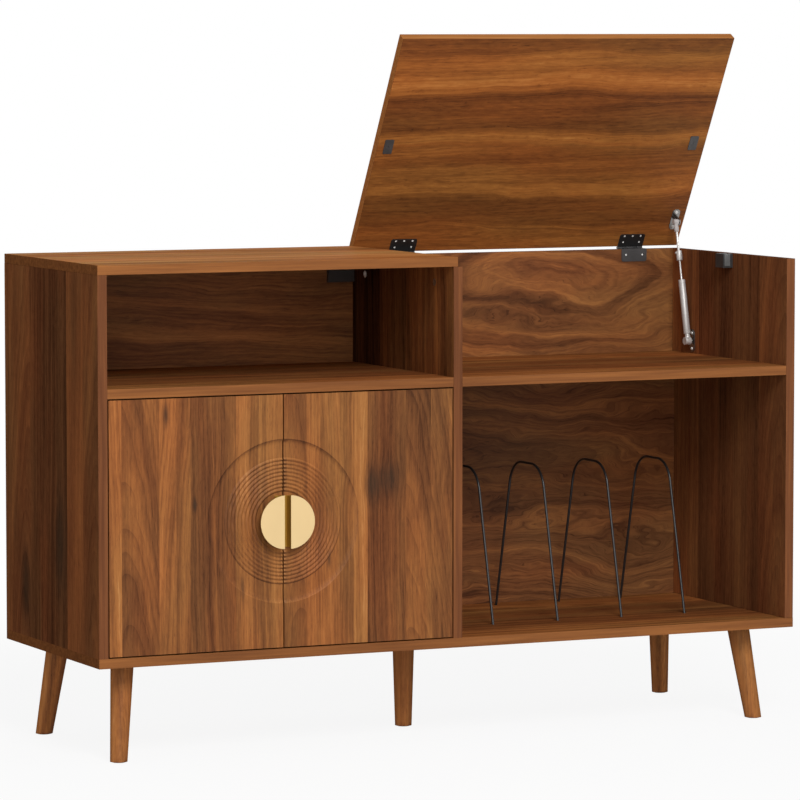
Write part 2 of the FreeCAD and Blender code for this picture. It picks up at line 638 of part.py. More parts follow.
def make_lid_bracket():
    """An oval plate under the lid and one ear, which stands beside the end fitting."""
    pin = strut_pin_shut()
    ear_x = pin.x + EYE_LENGTH / 2 + EAR_GAP
    plate_x = ear_x + EAR / 2
    plate = oval_plate(LID_BRACKET_WIDTH, LID_BRACKET_LENGTH, BRACKET)
    plate.translate(Vector(plate_x, pin.y + sum(LID_BRACKET_SCREWS) / 2, LID_UNDER - BRACKET))
    ear = box(ear_x, ear_x + EAR, pin.y - EAR_RADIUS, pin.y + EAR_RADIUS, pin.z, LID_UNDER)
    ear = ear.fuse(Part.makeCylinder(EAR_RADIUS, EAR, Vector(ear_x, pin.y, pin.z), X_AXIS))
    pin_hole = Part.makeCylinder(PIVOT_RADIUS, EAR + 2, Vector(ear_x - 1, pin.y, pin.z), X_AXIS)
    holes = [screw_hole(Vector(plate_x, pin.y + dy, LID_UNDER - BRACKET), Z_AXIS)
             for dy in LID_BRACKET_SCREWS]
    bracket = cut_all(plate.fuse(ear).removeSplitter(), holes + [pin_hole])
    nodes["strut_lid_bracket"] = opened(bracket)


# ---------------------------------------------------------------- doors
CUP_RADIUS, CUP_DEPTH, CUP_WALL = 17.5, 11.5, 1.2
CUP_FROM_EDGE, CUP_FROM_END = 20.5, 75.0
WING_WIDTH, WING_HEIGHT = 22.0, 62.0
WING_SCREW_BEHIND, WING_SCREW_SPREAD = 5.5, 24.0
PLATE_DEPTH, PLATE_HEIGHT, HINGE_PLATE = 24.0, 50.0, 2.0
PLATE_FROM_FRONT, PLATE_SCREW_SPREAD = 55.0, 16.0
ARM_HALF_HEIGHT, ARM_SHEET = 7.0, 1.5
# the arm's bent outline, out from its plate and back from the front of the case
ARM_OUTLINE = ((0.0, 78.0), (9.0, 78.0), (9.0, 40.0), (25.0, 30.0), (25.0, 19.6),
               (17.0, 19.6), (14.0, 28.0), (0.0, 34.0))
HANDLE_BOLT_SPREAD, HANDLE_BOLT_RADIUS = 26.0, 2.1
HANDLE_BASE = 2.0
HANDLE_BASE_FROM_SEAM = 1.4
WEB_STOPS_SHORT = 1.4          # of each end of the half disc's straight edge
DOOR_STRIKE, DOOR_STRIKE_SIZE, DOOR_STRIKE_BELOW = 1.2, 16.0, 4.0
DOOR_CATCH_FROM_SEAM = 22.0
DOOR_CATCH_WIDTH, DOOR_CATCH_HEIGHT, DOOR_CATCH_DEPTH = 18.0, 16.0, 13.4
# the relief's edge: how far in from its outer radius, and how deep
RELIEF_EDGE = ((0.0, 0.0), (4.5, 2.1), (8.0, RELIEF_DEPTH))


def relief_profile():
    """Radius and depth: over the edge, along the flat floor and across the V-cut rings."""
    crests = [RING_FIRST_RADIUS + RING_PITCH * k for k in reversed(range(RING_COUNT))]
    profile = [(RELIEF_RADIUS - inward, depth) for inward, depth in RELIEF_EDGE]
    for crest in crests:
        profile += [(crest + RING_PITCH / 2, RELIEF_DEPTH), (crest, RELIEF_DEPTH - RING_HEIGHT)]
    return profile + [(crests[-1] - RING_PITCH / 2, RELIEF_DEPTH), (0.0, RELIEF_DEPTH)]


def relief_cutter():
    """The turned relief that the two doors share, revolved about the handle's middle."""
    above = -5.0
    outline = [(0.0, above), (RELIEF_RADIUS, above)] + relief_profile()
    corners = [Vector(SEAM + radius, FRONT + depth, DOOR_MIDDLE) for radius, depth in outline]
    face = Part.Face(Part.makePolygon(corners + corners[:1]))
    return face.revolve(Vector(SEAM, FRONT, DOOR_MIDDLE), Y_AXIS, 360)


def hinge_heights():
    return (DOOR_BOTTOM + CUP_FROM_END, DOOR_TOP - CUP_FROM_END)


def hinge_cup(middle):
    """The drawn steel cup of a concealed hinge, with its wings flat on the door's back."""
    bottom = CUP_DEPTH - 0.3
    shell = Part.makeCylinder(CUP_RADIUS, bottom, middle - Y_AXIS * bottom, Y_AXIS)
    wing = rounded_plate(WING_WIDTH, WING_HEIGHT, CUP_WALL, 6.0)
    wing.translate(middle + Vector(1.5, CUP_WALL, 0))
    hollow = Part.makeCylinder(CUP_RADIUS - CUP_WALL, bottom + CUP_WALL,
                               middle - Y_AXIS * (bottom - CUP_WALL), Y_AXIS)
    holes = [screw_hole(middle + Vector(WING_SCREW_BEHIND, CUP_WALL, dz), -Y_AXIS)
             for dz in (-WING_SCREW_SPREAD, WING_SCREW_SPREAD)]
    return cut_all(shell.fuse(wing).removeSplitter(), [hollow] + holes)


def hinge_plate(z):
    """The mounting plate of a concealed hinge, on the side panel."""
    plate = rounded_plate(PLATE_DEPTH, PLATE_HEIGHT, HINGE_PLATE, 5.0)
    plate.rotate(Vector(), Z_AXIS, 90)
    plate.translate(Vector(INNER_LEFT, FRONT + PLATE_FROM_FRONT, z))
    holes = [screw_hole(Vector(INNER_LEFT + HINGE_PLATE, FRONT + PLATE_FROM_FRONT, z + dz),
                        -X_AXIS)
             for dz in (-PLATE_SCREW_SPREAD, PLATE_SCREW_SPREAD)]
    return cut_all(plate, holes)


def hinge_arm(z):
    """The bent channel of a concealed hinge, from its plate to the cup's mouth."""
    x0 = INNER_LEFT + HINGE_PLATE
    low, high = z - ARM_HALF_HEIGHT, z + ARM_HALF_HEIGHT
    corners = [Vector(x0 + out, FRONT + back, low) for out, back in ARM_OUTLINE]
    face = Part.Face(Part.makePolygon(corners + corners[:1]))
    arm = face.extrude(Z_AXIS * (high - low))
    channel = box(x0 + ARM_SHEET, x0 + 9.0 - ARM_SHEET, FRONT + 38, FRONT + 80,
                  low + ARM_SHEET, high - ARM_SHEET)
    return arm.cut(channel)


def make_handle(base_front):
    """A half disc on a web along its straight edge, with a base that is bolted to the door."""
    straight_x = SEAM - HANDLE_SPLIT / 2
    centre_x = SEAM - HANDLE_CENTRE_FROM_SEAM
    plate_y = FRONT - HANDLE_PROJECTION
    base_x1 = SEAM - HANDLE_BASE_FROM_SEAM
    base_x0 = base_x1 - HANDLE_BASE_WIDTH
    disc = Part.makeCylinder(HANDLE_RADIUS, HANDLE_PLATE,
                             Vector(centre_x, plate_y, DOOR_MIDDLE), Y_AXIS)
    half_disc = disc.common(box(centre_x - HANDLE_RADIUS, straight_x, plate_y,
                                plate_y + HANDLE_PLATE, DOOR_MIDDLE - HANDLE_RADIUS,
                                DOOR_MIDDLE + HANDLE_RADIUS))
    web_far = centre_x - straight_x + HANDLE_PLATE
    web_half = math.sqrt(HANDLE_RADIUS ** 2 - web_far ** 2) - WEB_STOPS_SHORT
    low, high = DOOR_MIDDLE - web_half, DOOR_MIDDLE + web_half
    web = box(straight_x - HANDLE_PLATE, straight_x, plate_y + HANDLE_PLATE / 2, base_front,
              low, high)
    base = box(base_x0, base_x1, base_front - HANDLE_BASE, base_front, low, high)
    taps = [Part.makeCylinder(HANDLE_BOLT_RADIUS - 0.1, HANDLE_BASE,
                              Vector((base_x0 + base_x1) / 2, base_front, DOOR_MIDDLE + dz),
                              -Y_AXIS)
            for dz in (-HANDLE_BOLT_SPREAD, HANDLE_BOLT_SPREAD)]
    return cut_all(half_disc.fuse([web, base]).removeSplitter(), taps)


def make_left_door_set():
    """The left door and all that rides on it or carries it, as name: shape."""
    edge, free = INNER_LEFT + DOOR_GAP, SEAM - DOOR_GAP / 2
    door = box(edge, free, FRONT, DOOR_BACK, DOOR_BOTTOM, DOOR_TOP)
    cup_middles = [Vector(edge + CUP_FROM_EDGE, DOOR_BACK, z) for z in hinge_heights()]
    cup_bores = [Part.makeCylinder(CUP_RADIUS + RUNNING_PLAY, CUP_DEPTH,
                                   middle - Y_AXIS * CUP_DEPTH, Y_AXIS)
                 for middle in cup_middles]
    bolt_x = SEAM - HANDLE_BASE_FROM_SEAM - HANDLE_BASE_WIDTH / 2
    bolt_holes = [Part.makeCylinder(HANDLE_BOLT_RADIUS, DOOR,
                                    Vector(bolt_x, FRONT, DOOR_MIDDLE + dz), Y_AXIS)
                  for dz in (-HANDLE_BOLT_SPREAD, HANDLE_BOLT_SPREAD)]
    strike_x = SEAM - DOOR_CATCH_FROM_SEAM
    half = DOOR_STRIKE_SIZE / 2
    strike_top = DOOR_TOP - DOOR_STRIKE_BELOW
    return {
        "left_door": cut_all(door, [relief_cutter()] + cup_bores + bolt_holes),
        "left_handle": make_handle(FRONT + RELIEF_DEPTH),
        "left_hinge_cups": Part.makeCompound([hinge_cup(middle) for middle in cup_middles]),
        "left_hinge_arms": Part.makeCompound([hinge_arm(z) for z in hinge_heights()]),
        "hinge_plates": Part.makeCompound([hinge_plate(z) for z in hinge_heights()]),
        "left_door_strike": box(strike_x - half, strike_x + half, DOOR_BACK,
                                DOOR_BACK + DOOR_STRIKE, strike_top - DOOR_STRIKE_SIZE,
                                strike_top),
    }


def make_doors():
    for name, shape in make_left_door_set().items():
        if name.startswith("left_"):
            nodes[name] = shape
            nodes[name.replace("left_", "right_")] = mirrored(shape, SEAM)
        else:
            nodes[name] = Part.makeCompound([shape, mirrored(shape, SEAM)])

    # one double catch under the shelf, just behind the two strikes
    y0 = DOOR_BACK + DOOR_STRIKE + 0.4
    y1 = y0 + DOOR_CATCH_DEPTH
    half = DOOR_CATCH_WIDTH / 2
    housings = [box(x - half, x + half, y0, y1, SHELF_UNDER - DOOR_CATCH_HEIGHT, SHELF_UNDER)
                for x in (SEAM - DOOR_CATCH_FROM_SEAM, SEAM + DOOR_CATCH_FROM_SEAM)]
    bridge = box(SEAM - DOOR_CATCH_FROM_SEAM, SEAM + DOOR_CATCH_FROM_SEAM, y0 + 4.4, y1,
                 SHELF_UNDER - 4.0, SHELF_UNDER)
    nodes["door_catch"] = housings[0].fuse([housings[1], bridge]).removeSplitter()


# ---------------------------------------------------------------- joints
def joint_list():
    """Each joint at rest: its name, a point on its axis, the axis, its travel and the unit."""
    shut = strut_pin_shut() - STRUT_FOOT
    swing = math.degrees(shut.getAngle(STRUT_RUN))
    stroke = STRUT_LENGTH - shut.Length
    left_x = INNER_LEFT + DOOR_GAP + DOOR_AXIS_FROM_EDGE
    left_pivot, right_pivot = (Vector(x, FRONT + DOOR_AXIS_BEHIND_FACE, DOOR_MIDDLE)
                               for x in (left_x, 2 * SEAM - left_x))
    return [
        ("lid_hinge", Vector(LID_MIDDLE, PIN_Y, PIN_Z), X_AXIS, LID_OPEN_ANGLE, "deg"),
        ("strut_foot_pivot", STRUT_FOOT, X_AXIS, swing, "deg"),
        ("strut_rod_slide", STRUT_FOOT, STRUT_RUN.negative(), stroke, "mm"),
        ("strut_collar_slide", STRUT_FOOT, STRUT_RUN, stroke - COLLAR_TRAVEL, "mm"),
        ("left_door_hinge", left_pivot, Z_AXIS.negative(), DOOR_OPENS, "deg"),
        ("right_door_hinge", right_pivot, Z_AXIS, DOOR_OPENS, "deg"),
    ]


# ---------------------------------------------------------------- build
make_carcass()
make_thin_backs()
make_cam_locks()
make_corner_brace()
make_legs()
make_wires()
make_lid()
for hinge_side, hinge_x in lid_hinge_middles():
    make_lid_hinge(hinge_side, hinge_x)
make_catches()
make_side_bracket()
make_tube()
make_rod()
make_collar()
make_lid_bracket()
make_doors()

os.makedirs("parts", exist_ok=True)
for node_name, node_shape in sorted(nodes.items()):
    node_shape.exportStep("parts/%s.step" % node_name)
print(len(nodes), "nodes")
for joint_name, place, axis, travel, unit in joint_list():
    print("%-19s at (%8.3f, %8.3f, %8.3f) along (%6.3f, %6.3f, %6.3f) for %6.2f %s"
          % (joint_name, *place, *axis, travel, unit))
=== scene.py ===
# %% [markdown]
# # A walnut record cabinet
#
# This lesson dresses a finished furniture model. The boards, doors, hinges and legs are
# already the right size and in the right place, because they come from the maker's solid
# model. Our work is everything the eye reads as *real*: figured walnut, edge bands, satin
# brass, black steel, the little screws, and light that shows them.
#
# First we load the solids. Each one is called a node, and each node rides on a body that
# may move: the case, the lid, the three parts of the lid strut and the two doors.

# %% Load the solid model
from collections import namedtuple
import json
import math
import random

import bmesh
import bpy
from mathutils import Matrix, Vector


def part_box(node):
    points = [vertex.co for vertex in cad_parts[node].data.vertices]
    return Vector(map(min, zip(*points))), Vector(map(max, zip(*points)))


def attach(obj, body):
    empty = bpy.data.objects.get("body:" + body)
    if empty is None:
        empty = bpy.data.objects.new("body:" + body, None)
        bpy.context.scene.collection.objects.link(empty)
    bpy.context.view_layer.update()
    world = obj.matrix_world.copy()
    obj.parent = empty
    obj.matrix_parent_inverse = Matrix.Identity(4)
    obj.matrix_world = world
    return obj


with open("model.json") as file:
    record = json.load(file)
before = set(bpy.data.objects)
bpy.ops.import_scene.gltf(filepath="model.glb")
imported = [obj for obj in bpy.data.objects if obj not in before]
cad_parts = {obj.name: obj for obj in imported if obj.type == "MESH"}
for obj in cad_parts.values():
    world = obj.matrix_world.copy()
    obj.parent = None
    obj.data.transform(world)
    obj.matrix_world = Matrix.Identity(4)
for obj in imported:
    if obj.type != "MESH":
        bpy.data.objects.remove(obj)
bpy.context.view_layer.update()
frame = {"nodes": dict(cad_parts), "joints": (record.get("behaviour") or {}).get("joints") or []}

MM = 0.001
scene = bpy.context.scene
nodes = frame["nodes"]

# %% [markdown]
# ## Places
#
# A piece sits well when its place is worked out from its neighbours, not typed in. The
# bottom board gives the ends and the front of the case, and the lid's joint gives the line
# that the lid turns about. Grain runs and screw places below are measured from these.

# %% Read the main places from the model
case_low, case_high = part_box("bottom_board")
LEFT, RIGHT = case_low.x, case_high.x
FRONT, BACK = case_low.y, case_high.y
WIDTH, DEPTH = RIGHT - LEFT, BACK - FRONT
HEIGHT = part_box("top_board")[1].z - case_low.z
DOOR_SEAM = (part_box("left_door")[1].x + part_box("right_door")[0].x) / 2

lid_joint = next(joint for joint in frame["joints"] if joint["name"] == "lid_hinge")
LID_PIN = Vector(lid_joint["pos_m"])
LID_OPEN = math.radians(lid_joint["range_deg"][1])
lid_swing = (Matrix.Translation(LID_PIN) @ Matrix.Rotation(-LID_OPEN, 4, "X")
             @ Matrix.Translation(-LID_PIN))
print("case %.0f x %.0f mm, lid stands open %.1f degrees"
      % (WIDTH / MM, DEPTH / MM, math.degrees(LID_OPEN)))

# %% [markdown]
# ## The camera
#
# A catalogue view is taken from far away with a long lens, so that upright edges stay
# nearly parallel. The camera stands about seven and a half metres off, to the left of the
# cabinet and a little above its top, and looks down by less than five degrees. A sensor
# of 36 mm is Blender's default, so the lens alone sets how much we see.

# %% Make the camera
CAMERA_PLACE = Vector((-3.2076, -6.8534, 1.1289))
CAMERA_DOWN, CAMERA_TURN = 4.577, 25.033          # degrees
LENS = 214.556                                    # mm
camera_data = bpy.data.cameras.new("catalogue_camera")
camera_data.lens = LENS
camera_data.sensor_width = 36.0
camera = bpy.data.objects.new("catalogue_camera", camera_data)
camera.location = CAMERA_PLACE
camera.rotation_euler = (math.radians(90 - CAMERA_DOWN), 0, math.radians(-CAMERA_TURN))
scene.collection.objects.link(camera)
scene.camera = camera
print("camera %.2f m from the origin" % CAMERA_PLACE.length)

# %% [markdown]
# ## Small helpers for node trees
#
# A material in Blender is a little graph. Writing it out node by node is long, so we keep
# a few helpers. `plug` feeds a node's inputs: another node's output gets linked, and
# anything else is simply set. `add` makes one node and plugs it in. `calc`, `times` and
# `total` do sums, `between` is a soft step, and `swing` turns a noise into a change up or
# down.

# %% Helpers for sums
def plug(tree, node, inputs):
    for key, value in inputs.items():
        if isinstance(value, bpy.types.NodeSocket):
            tree.links.new(value, node.inputs[key])
        else:
            node.inputs[key].default_value = value


def add(tree, kind, settings=None, inputs=None, output=0):
    """Make one shader node and return one of its outputs, or the node if output is None."""
    node = tree.nodes.new("ShaderNode" + kind)
    for name, value in (settings or {}).items():
        setattr(node, name, value)
    plug(tree, node, inputs or {})
    return node if output is None else node.outputs[output]


def calc(tree, operation, *values):
    """One arithmetic node."""
    return add(tree, "Math", {"operation": operation}, dict(enumerate(values)))


def times(tree, first, second):
    return calc(tree, "MULTIPLY", first, second)


def total(tree, *values):
    """Add up any number of values."""
    result = values[0]
    for value in values[1:]:
        result = calc(tree, "ADD", result, value)
    return result


def swing(tree, value, weight):
    """How far a 0 to 1 value is from its middle, times a weight."""
    return times(tree, calc(tree, "SUBTRACT", value, 0.5), weight)


def between(tree, value, low, high, least=0.0):
    """least below low, 1 above high, and a smooth step between."""
    return add(tree, "MapRange", {"interpolation_type": "SMOOTHSTEP"},
               {0: value, 1: low, 2: high, 3: least, 4: 1.0})


print("helpers for sums ready")

# %% [markdown]
# The other helpers work on places and colours. `texture_places` gives each point's place at
# rest, so the grain stays on a board that moves.

# %% Helpers for places and colours
def texture_places(tree):
    """Outputs that give a point's place and the way its surface faces, at rest."""
    places = add(tree, "TexCoord", output=None).outputs
    return places["Object"], places["Normal"]


def vector(tree, x, y, z):
    return add(tree, "CombineXYZ", inputs={0: x, 1: y, 2: z})


def noise(tree, place, detail, roughness, scale=1.0):
    return add(tree, "TexNoise", {"noise_dimensions": "3D"},
               {"Vector": place, "Scale": scale, "Detail": detail, "Roughness": roughness})


def srgb(red, green, blue):
    """A colour as a paint chart writes it, 0 to 255, turned into light."""
    def light(value):
        share = value / 255
        return share / 12.92 if share <= 0.04045 else ((share + 0.055) / 1.055) ** 2.4
    return (light(red), light(green), light(blue))


def mix_colour(tree, factor, first, second, blend="MIX"):
    return add(tree, "Mix", {"data_type": "RGBA", "blend_type": blend},
               {0: factor, 6: first, 7: second}, 2)


def colour_ramp(tree, value, stops, interpolation="LINEAR"):
    """A ColorRamp with the given (position, colour) stops."""
    node = add(tree, "ValToRGB", inputs={0: value}, output=None)
    ramp = node.color_ramp
    ramp.interpolation = interpolation
    ramp.elements[0].position, ramp.elements[0].color = stops[0][0], (*stops[0][1], 1)
    ramp.elements[1].position, ramp.elements[1].color = stops[-1][0], (*stops[-1][1], 1)
    for position, colour in stops[1:-1]:
        ramp.elements.new(position).color = (*colour, 1)
    return node.outputs[0]


def new_material(name):
    """A material with an empty tree but for its shader and its output."""
    material = bpy.data.materials.new(name)
    material.use_nodes = True
    tree = material.node_tree
    tree.nodes.clear()
    shader = tree.nodes.new("ShaderNodeBsdfPrincipled")
    output = tree.nodes.new("ShaderNodeOutputMaterial")
    tree.links.new(shader.outputs[0], output.inputs[0])
    return material, tree, shader


print("helpers for colours ready")

# %% [markdown]
# ## The studio
#
# A white room can be built with walls and many lamps, but then so much light bounces about
# that the wood looks washed out. Ours is a surround that only *looks* fully white: to the
# camera, and in reflections, it has a strength of 1, while the light that it really throws
# on the wood is much weaker.

# %% Surround the cabinet with white
AMBIENT = 0.36
WHITE = (1, 1, 1, 1)
scene.view_settings.view_transform = "Standard"
scene.world = bpy.data.worlds.new("white_surround")
scene.world.use_nodes = True
world = scene.world.node_tree
world.nodes.clear()


def seen_directly(tree):
    """1 for rays from the camera, in reflections and through glass, and 0 for other light."""
    path = add(tree, "LightPath", output=None).outputs
    return calc(tree, "MAXIMUM", path["Is Camera Ray"],
                calc(tree, "MAXIMUM", path["Is Glossy Ray"], path["Is Transmission Ray"]))


soft = add(world, "Background", inputs={0: WHITE, 1: AMBIENT})
white = add(world, "Background", inputs={0: WHITE, 1: 1.0})
sky = add(world, "MixShader", inputs={0: seen_directly(world), 1: soft, 2: white})
add(world, "OutputWorld", inputs={0: sky}, output=None)
print("ambient light", AMBIENT)

# %% [markdown]
# The floor works the same way. A plain white plane would show a grey horizon, and a
# shadow catcher would lose the soft light that a real floor throws back up on the legs. So
# this one is matt and holds a soft shadow near the cabinet, and further out it fades into
# the white surround.

# %% Lay the floor
FLOOR_RADIUS, FLOOR_POINTS = 14.0, 96
NEAR, FAR = 0.75, 2.4         # metres out, where the fade begins and where all is white
SELF_LIT = 0.9                # share of the floor near the cabinet that no shadow darkens
LONG_OVAL = (0.8, 1.0, 0.0)   # the fade reaches further along the cabinet than across it
FLOOR_GREY, PALE_GREY = srgb(206, 205, 203), (0.86, 0.86, 0.86)


def floor_material():
    material, tree, shader = new_material("pale_floor")
    plug(tree, shader, {"Base Color": (*FLOOR_GREY, 1), "Roughness": 0.9,
                        "Specular IOR Level": 0.0})
    place = texture_places(tree)[0]
    flat = add(tree, "VectorMath", {"operation": "MULTIPLY"}, {0: place, 1: LONG_OVAL})
    distance = add(tree, "VectorMath", {"operation": "LENGTH"}, {0: flat}, 1)
    pale = add(tree, "BsdfDiffuse", inputs={0: (*PALE_GREY, 1)})
    glow = add(tree, "Emission", inputs={0: WHITE, 1: 1.0})
    fade = between(tree, distance, NEAR, FAR, least=SELF_LIT)
    shown = add(tree, "MixShader", inputs={0: fade, 1: pale, 2: glow})
    mixed = add(tree, "MixShader",
                inputs={0: seen_directly(tree), 1: shader.outputs[0], 2: shown})
    output = next(node for node in tree.nodes if node.type == "OUTPUT_MATERIAL")
    tree.links.new(mixed, output.inputs[0])
    return material


def make_floor():
    mesh = bpy.data.meshes.new("studio_floor")
    shape = bmesh.new()
    bmesh.ops.create_circle(shape, cap_ends=True, segments=FLOOR_POINTS,
                             radius=FLOOR_RADIUS)
    shape.to_mesh(mesh)
    shape.free()
    mesh.materials.append(floor_material())
    floor = bpy.data.objects.new("studio_floor", mesh)
    scene.collection.objects.link(floor)


make_floor()
print("floor radius", FLOOR_RADIUS, "m")

# %% [markdown]
# One broad lamp does most of the work. It hangs in front of the cabinet and above it, a
# touch to the left, like a large softbox, so the doors and the top are bright and the
# outer side stays darker. A big lamp gives soft shadows. A weaker one stands low in front
# and reaches into the open bays, which the high lamp can't do. The weakest, on the right,
# keeps the far side from going black.

# %% Hang the lamps
AIM = Vector((0.0, 0.0, 0.5))


def softbox(name, place, size, watts):
    """A square area lamp that faces the middle of the cabinet."""
    data = bpy.data.lights.new(name, "AREA")
    data.shape = "SQUARE"
    data.size = size
    data.energy = watts
    lamp = bpy.data.objects.new(name, data)
    lamp.location = place
    lamp.rotation_mode = "QUATERNION"
    lamp.rotation_quaternion = (AIM - Vector(place)).to_track_quat("-Z", "Y")
    scene.collection.objects.link(lamp)
    return lamp


lamps = [softbox("key_softbox", (-0.9, -5.1, 4.1), 2.0, 215),
         softbox("front_softbox", (-2.6, -6.4, 1.5), 3.0, 78),
         softbox("side_softbox", (5.2, -2.2, 2.0), 2.5, 20)]
print("lamps:", [lamp.name for lamp in lamps])

# %% [markdown]
# ## How walnut grows
#
# Walnut figure comes from one simple thing: a flat cut through rings that taper like a
# stack of cones. Cut near the heart, the rings show as nested arches, which cabinet makers
# call cathedral figure. Cut further out, the same rings are nearly straight lines. A wave
# texture could fake one or the other. One formula can make both, and every strip of veneer
# on this cabinet:
#
# *distance from the heart = √(across² + depth²)*, where the depth changes slowly along the
# tree.
#
# For that the shader must know, at each point, how far along the grain it is, how far
# across it, and how far through the board. The lid's shader first swings every point back
# to where it would be with the lid shut, since the lid is modelled open.

# %% A board's own directions
AXES = {"x": 0, "y": 1, "z": 2}
Board = namedtuple("Board", "u v w upward endwise")


def board_place(tree, along, across, lid=False):
    """u along the grain, v across it and w through the board, in metres, then how far the
    surface faces through the board and along the grain, -1 to 1."""
    place, facing = texture_places(tree)
    if lid:
        turn = (LID_OPEN, 0.0, 0.0)
        turned_pin = Matrix.Rotation(LID_OPEN, 3, "X") @ LID_PIN
        place = add(tree, "Mapping", inputs={0: place, 1: LID_PIN - turned_pin, 2: turn})
        facing = add(tree, "Mapping", {"vector_type": "NORMAL"}, {0: facing, 2: turn})
    through = next(axis for axis in AXES if axis not in (along, across))
    parts = add(tree, "SeparateXYZ", inputs={0: place}, output=None).outputs
    faces = add(tree, "SeparateXYZ", inputs={0: facing}, output=None).outputs
    return Board(parts[AXES[along]], parts[AXES[across]], parts[AXES[through]],
                 faces[AXES[through]], faces[AXES[along]])


print("grain directions ready")

# %% [markdown]
# ## Strips
#
# A panel is laid up from several strips of veneer, with a hard joint between them. Each
# strip could be its own mesh, but then the doors' relief would have to be cut through all
# of them. Here each strip is one line of a list: where it starts, how light it is, where
# its heart lies, and how fast its arches close. A ColorRamp that doesn't blend between its
# stops hands those numbers to the shader as red, green and blue.

# %% The strips of one panel
HEART_SPAN = 0.9              # hearts lie up to this far outside the panel, in metres
SLOPE_SPAN = 0.2              # slopes lie between minus and plus half of this
Strip = namedtuple("Strip", "tone heart slope")


def strip_at(tree, across, start, width, strips, joints):
    """Tone, heart and slope of the strip at this place across the panel."""
    share = calc(tree, "DIVIDE", calc(tree, "SUBTRACT", across, start), width)
    reach = width + 2 * HEART_SPAN
    stops = [(begins * MM / width,
              (tone, (heart * MM + HEART_SPAN) / reach, slope / SLOPE_SPAN + 0.5))
             for begins, tone, heart, slope in strips]
    if len(stops) == 1:
        stops.append((1.0, stops[0][1]))
    values = colour_ramp(tree, share, stops, joints)
    parts = add(tree, "SeparateColor", inputs={0: values}, output=None).outputs
    heart = calc(tree, "MULTIPLY_ADD", parts[1], reach, start - HEART_SPAN)
    return Strip(parts[0], heart, swing(tree, parts[2], SLOPE_SPAN))


print("strips carry tone, heart and slope")

# %% [markdown]
# ## Knots
#
# Where a branch grew, the wood is darker and the fibres flow round it. A painted spot
# would only be dark, so each knot here is a soft bell-shaped hill that darkens the wood
# and also pushes the grain aside, out from its middle.

# %% Knots that darken the wood and push its grain aside
KNOT_PUSH = -0.7              # in widths of the knot


def knot_field(tree, board, knots):
    """Darkness and sideways push. knots: (how high, how far across, height, width, in
    metres, and how dark)."""
    dark, push = 0.0, 0.0
    for high, aside, tall, wide, darkness in knots:
        du = calc(tree, "DIVIDE", calc(tree, "SUBTRACT", board.u, high), tall)
        dv = calc(tree, "DIVIDE", calc(tree, "SUBTRACT", board.v, aside), wide)
        square = calc(tree, "MULTIPLY_ADD", du, du, times(tree, dv, dv))
        near = calc(tree, "EXPONENT", times(tree, square, -1.0))
        dark = calc(tree, "MULTIPLY_ADD", near, darkness, dark)
        push = calc(tree, "MULTIPLY_ADD", times(tree, dv, near), KNOT_PUSH * wide, push)
    return dark, push


def placed(knots, start):
    """Knots given in mm, in metres and with their second place measured from start."""
    return [(high * MM, start + aside * MM, tall * MM, wide * MM, darkness)
            for high, aside, tall, wide, darkness in knots]


print("knots ready")

# %% [markdown]
# ## Rings
#
# The rings are noise taken along the distance from the heart, so their spacing is uneven
# as in a real tree. Each year also ends in a thin dark line of late wood, which is the
# fraction of that distance, sharpened by a power.
#
# A board's figure is a handful of numbers that we can change from board to board. *waver*
# bends the grain, and *eddy* says how short the bends are each way. *root* is the height
# where the cut passes nearest the heart, *depth* how near it passes, *slant* how far the
# heart leans sideways, and *taper* makes the arches close faster. *rings* is how close
# together the rings lie, and *contrast* how much they show. *clouds*, *flecks* and *lines*
# say how much the finer layers show. *soft_joint* lets neighbouring strips flow into each
# other, *end_band* darkens the bands on the board's ends, and *sheen* is the least gloss
# it keeps.

# %% The rings
FIGURE = {"waver": 0.022, "eddy": (3.2, 7.0), "root": 0.1, "depth": 0.03, "slant": 0.8,
          "taper": 1.0, "rings": 80.0, "contrast": 0.78, "clouds": 0.5, "flecks": 0.26,
          "lines": 1.0, "knots": (), "soft_joint": 0.0, "end_band": -0.16, "sheen": 0.0}
# layers of noise: changes in a metre along the grain and across it, and detail
RIPPLE, CLOUDS, STREAKS = (7.0, 5.0, 2), (3.6, 17.0, 4), (11.0, 120.0, 3)
FLECKS, FIBRES, PORES = (55.0, 330.0, 2), (9.0, 430.0, 3), (85.0, 1250.0, 1)
RIPPLE_DEPTH = 0.016          # metres
RING_DRIFT = 0.8              # how fast the rings change along the tree
YEARS, YEAR_WANDER = 170.0, 2.4            # years in a metre, and how unevenly they lie
LATE_WOOD = 3.5               # power that makes each year's dark line thin


def grain(tree, layer, u, v, third, roughness=0.5):
    """Noise stretched along the grain, which also changes with a third value."""
    along, across, detail = layer
    place = vector(tree, times(tree, u, along), times(tree, v, across), third)
    return noise(tree, place, detail, roughness)


def fine_grain(tree, layer, board, v, roughness=0.5):
    """Grain that changes through the board too, so that it runs on over its edges."""
    return grain(tree, layer, board.u, v, times(tree, board.w, layer[1]), roughness)


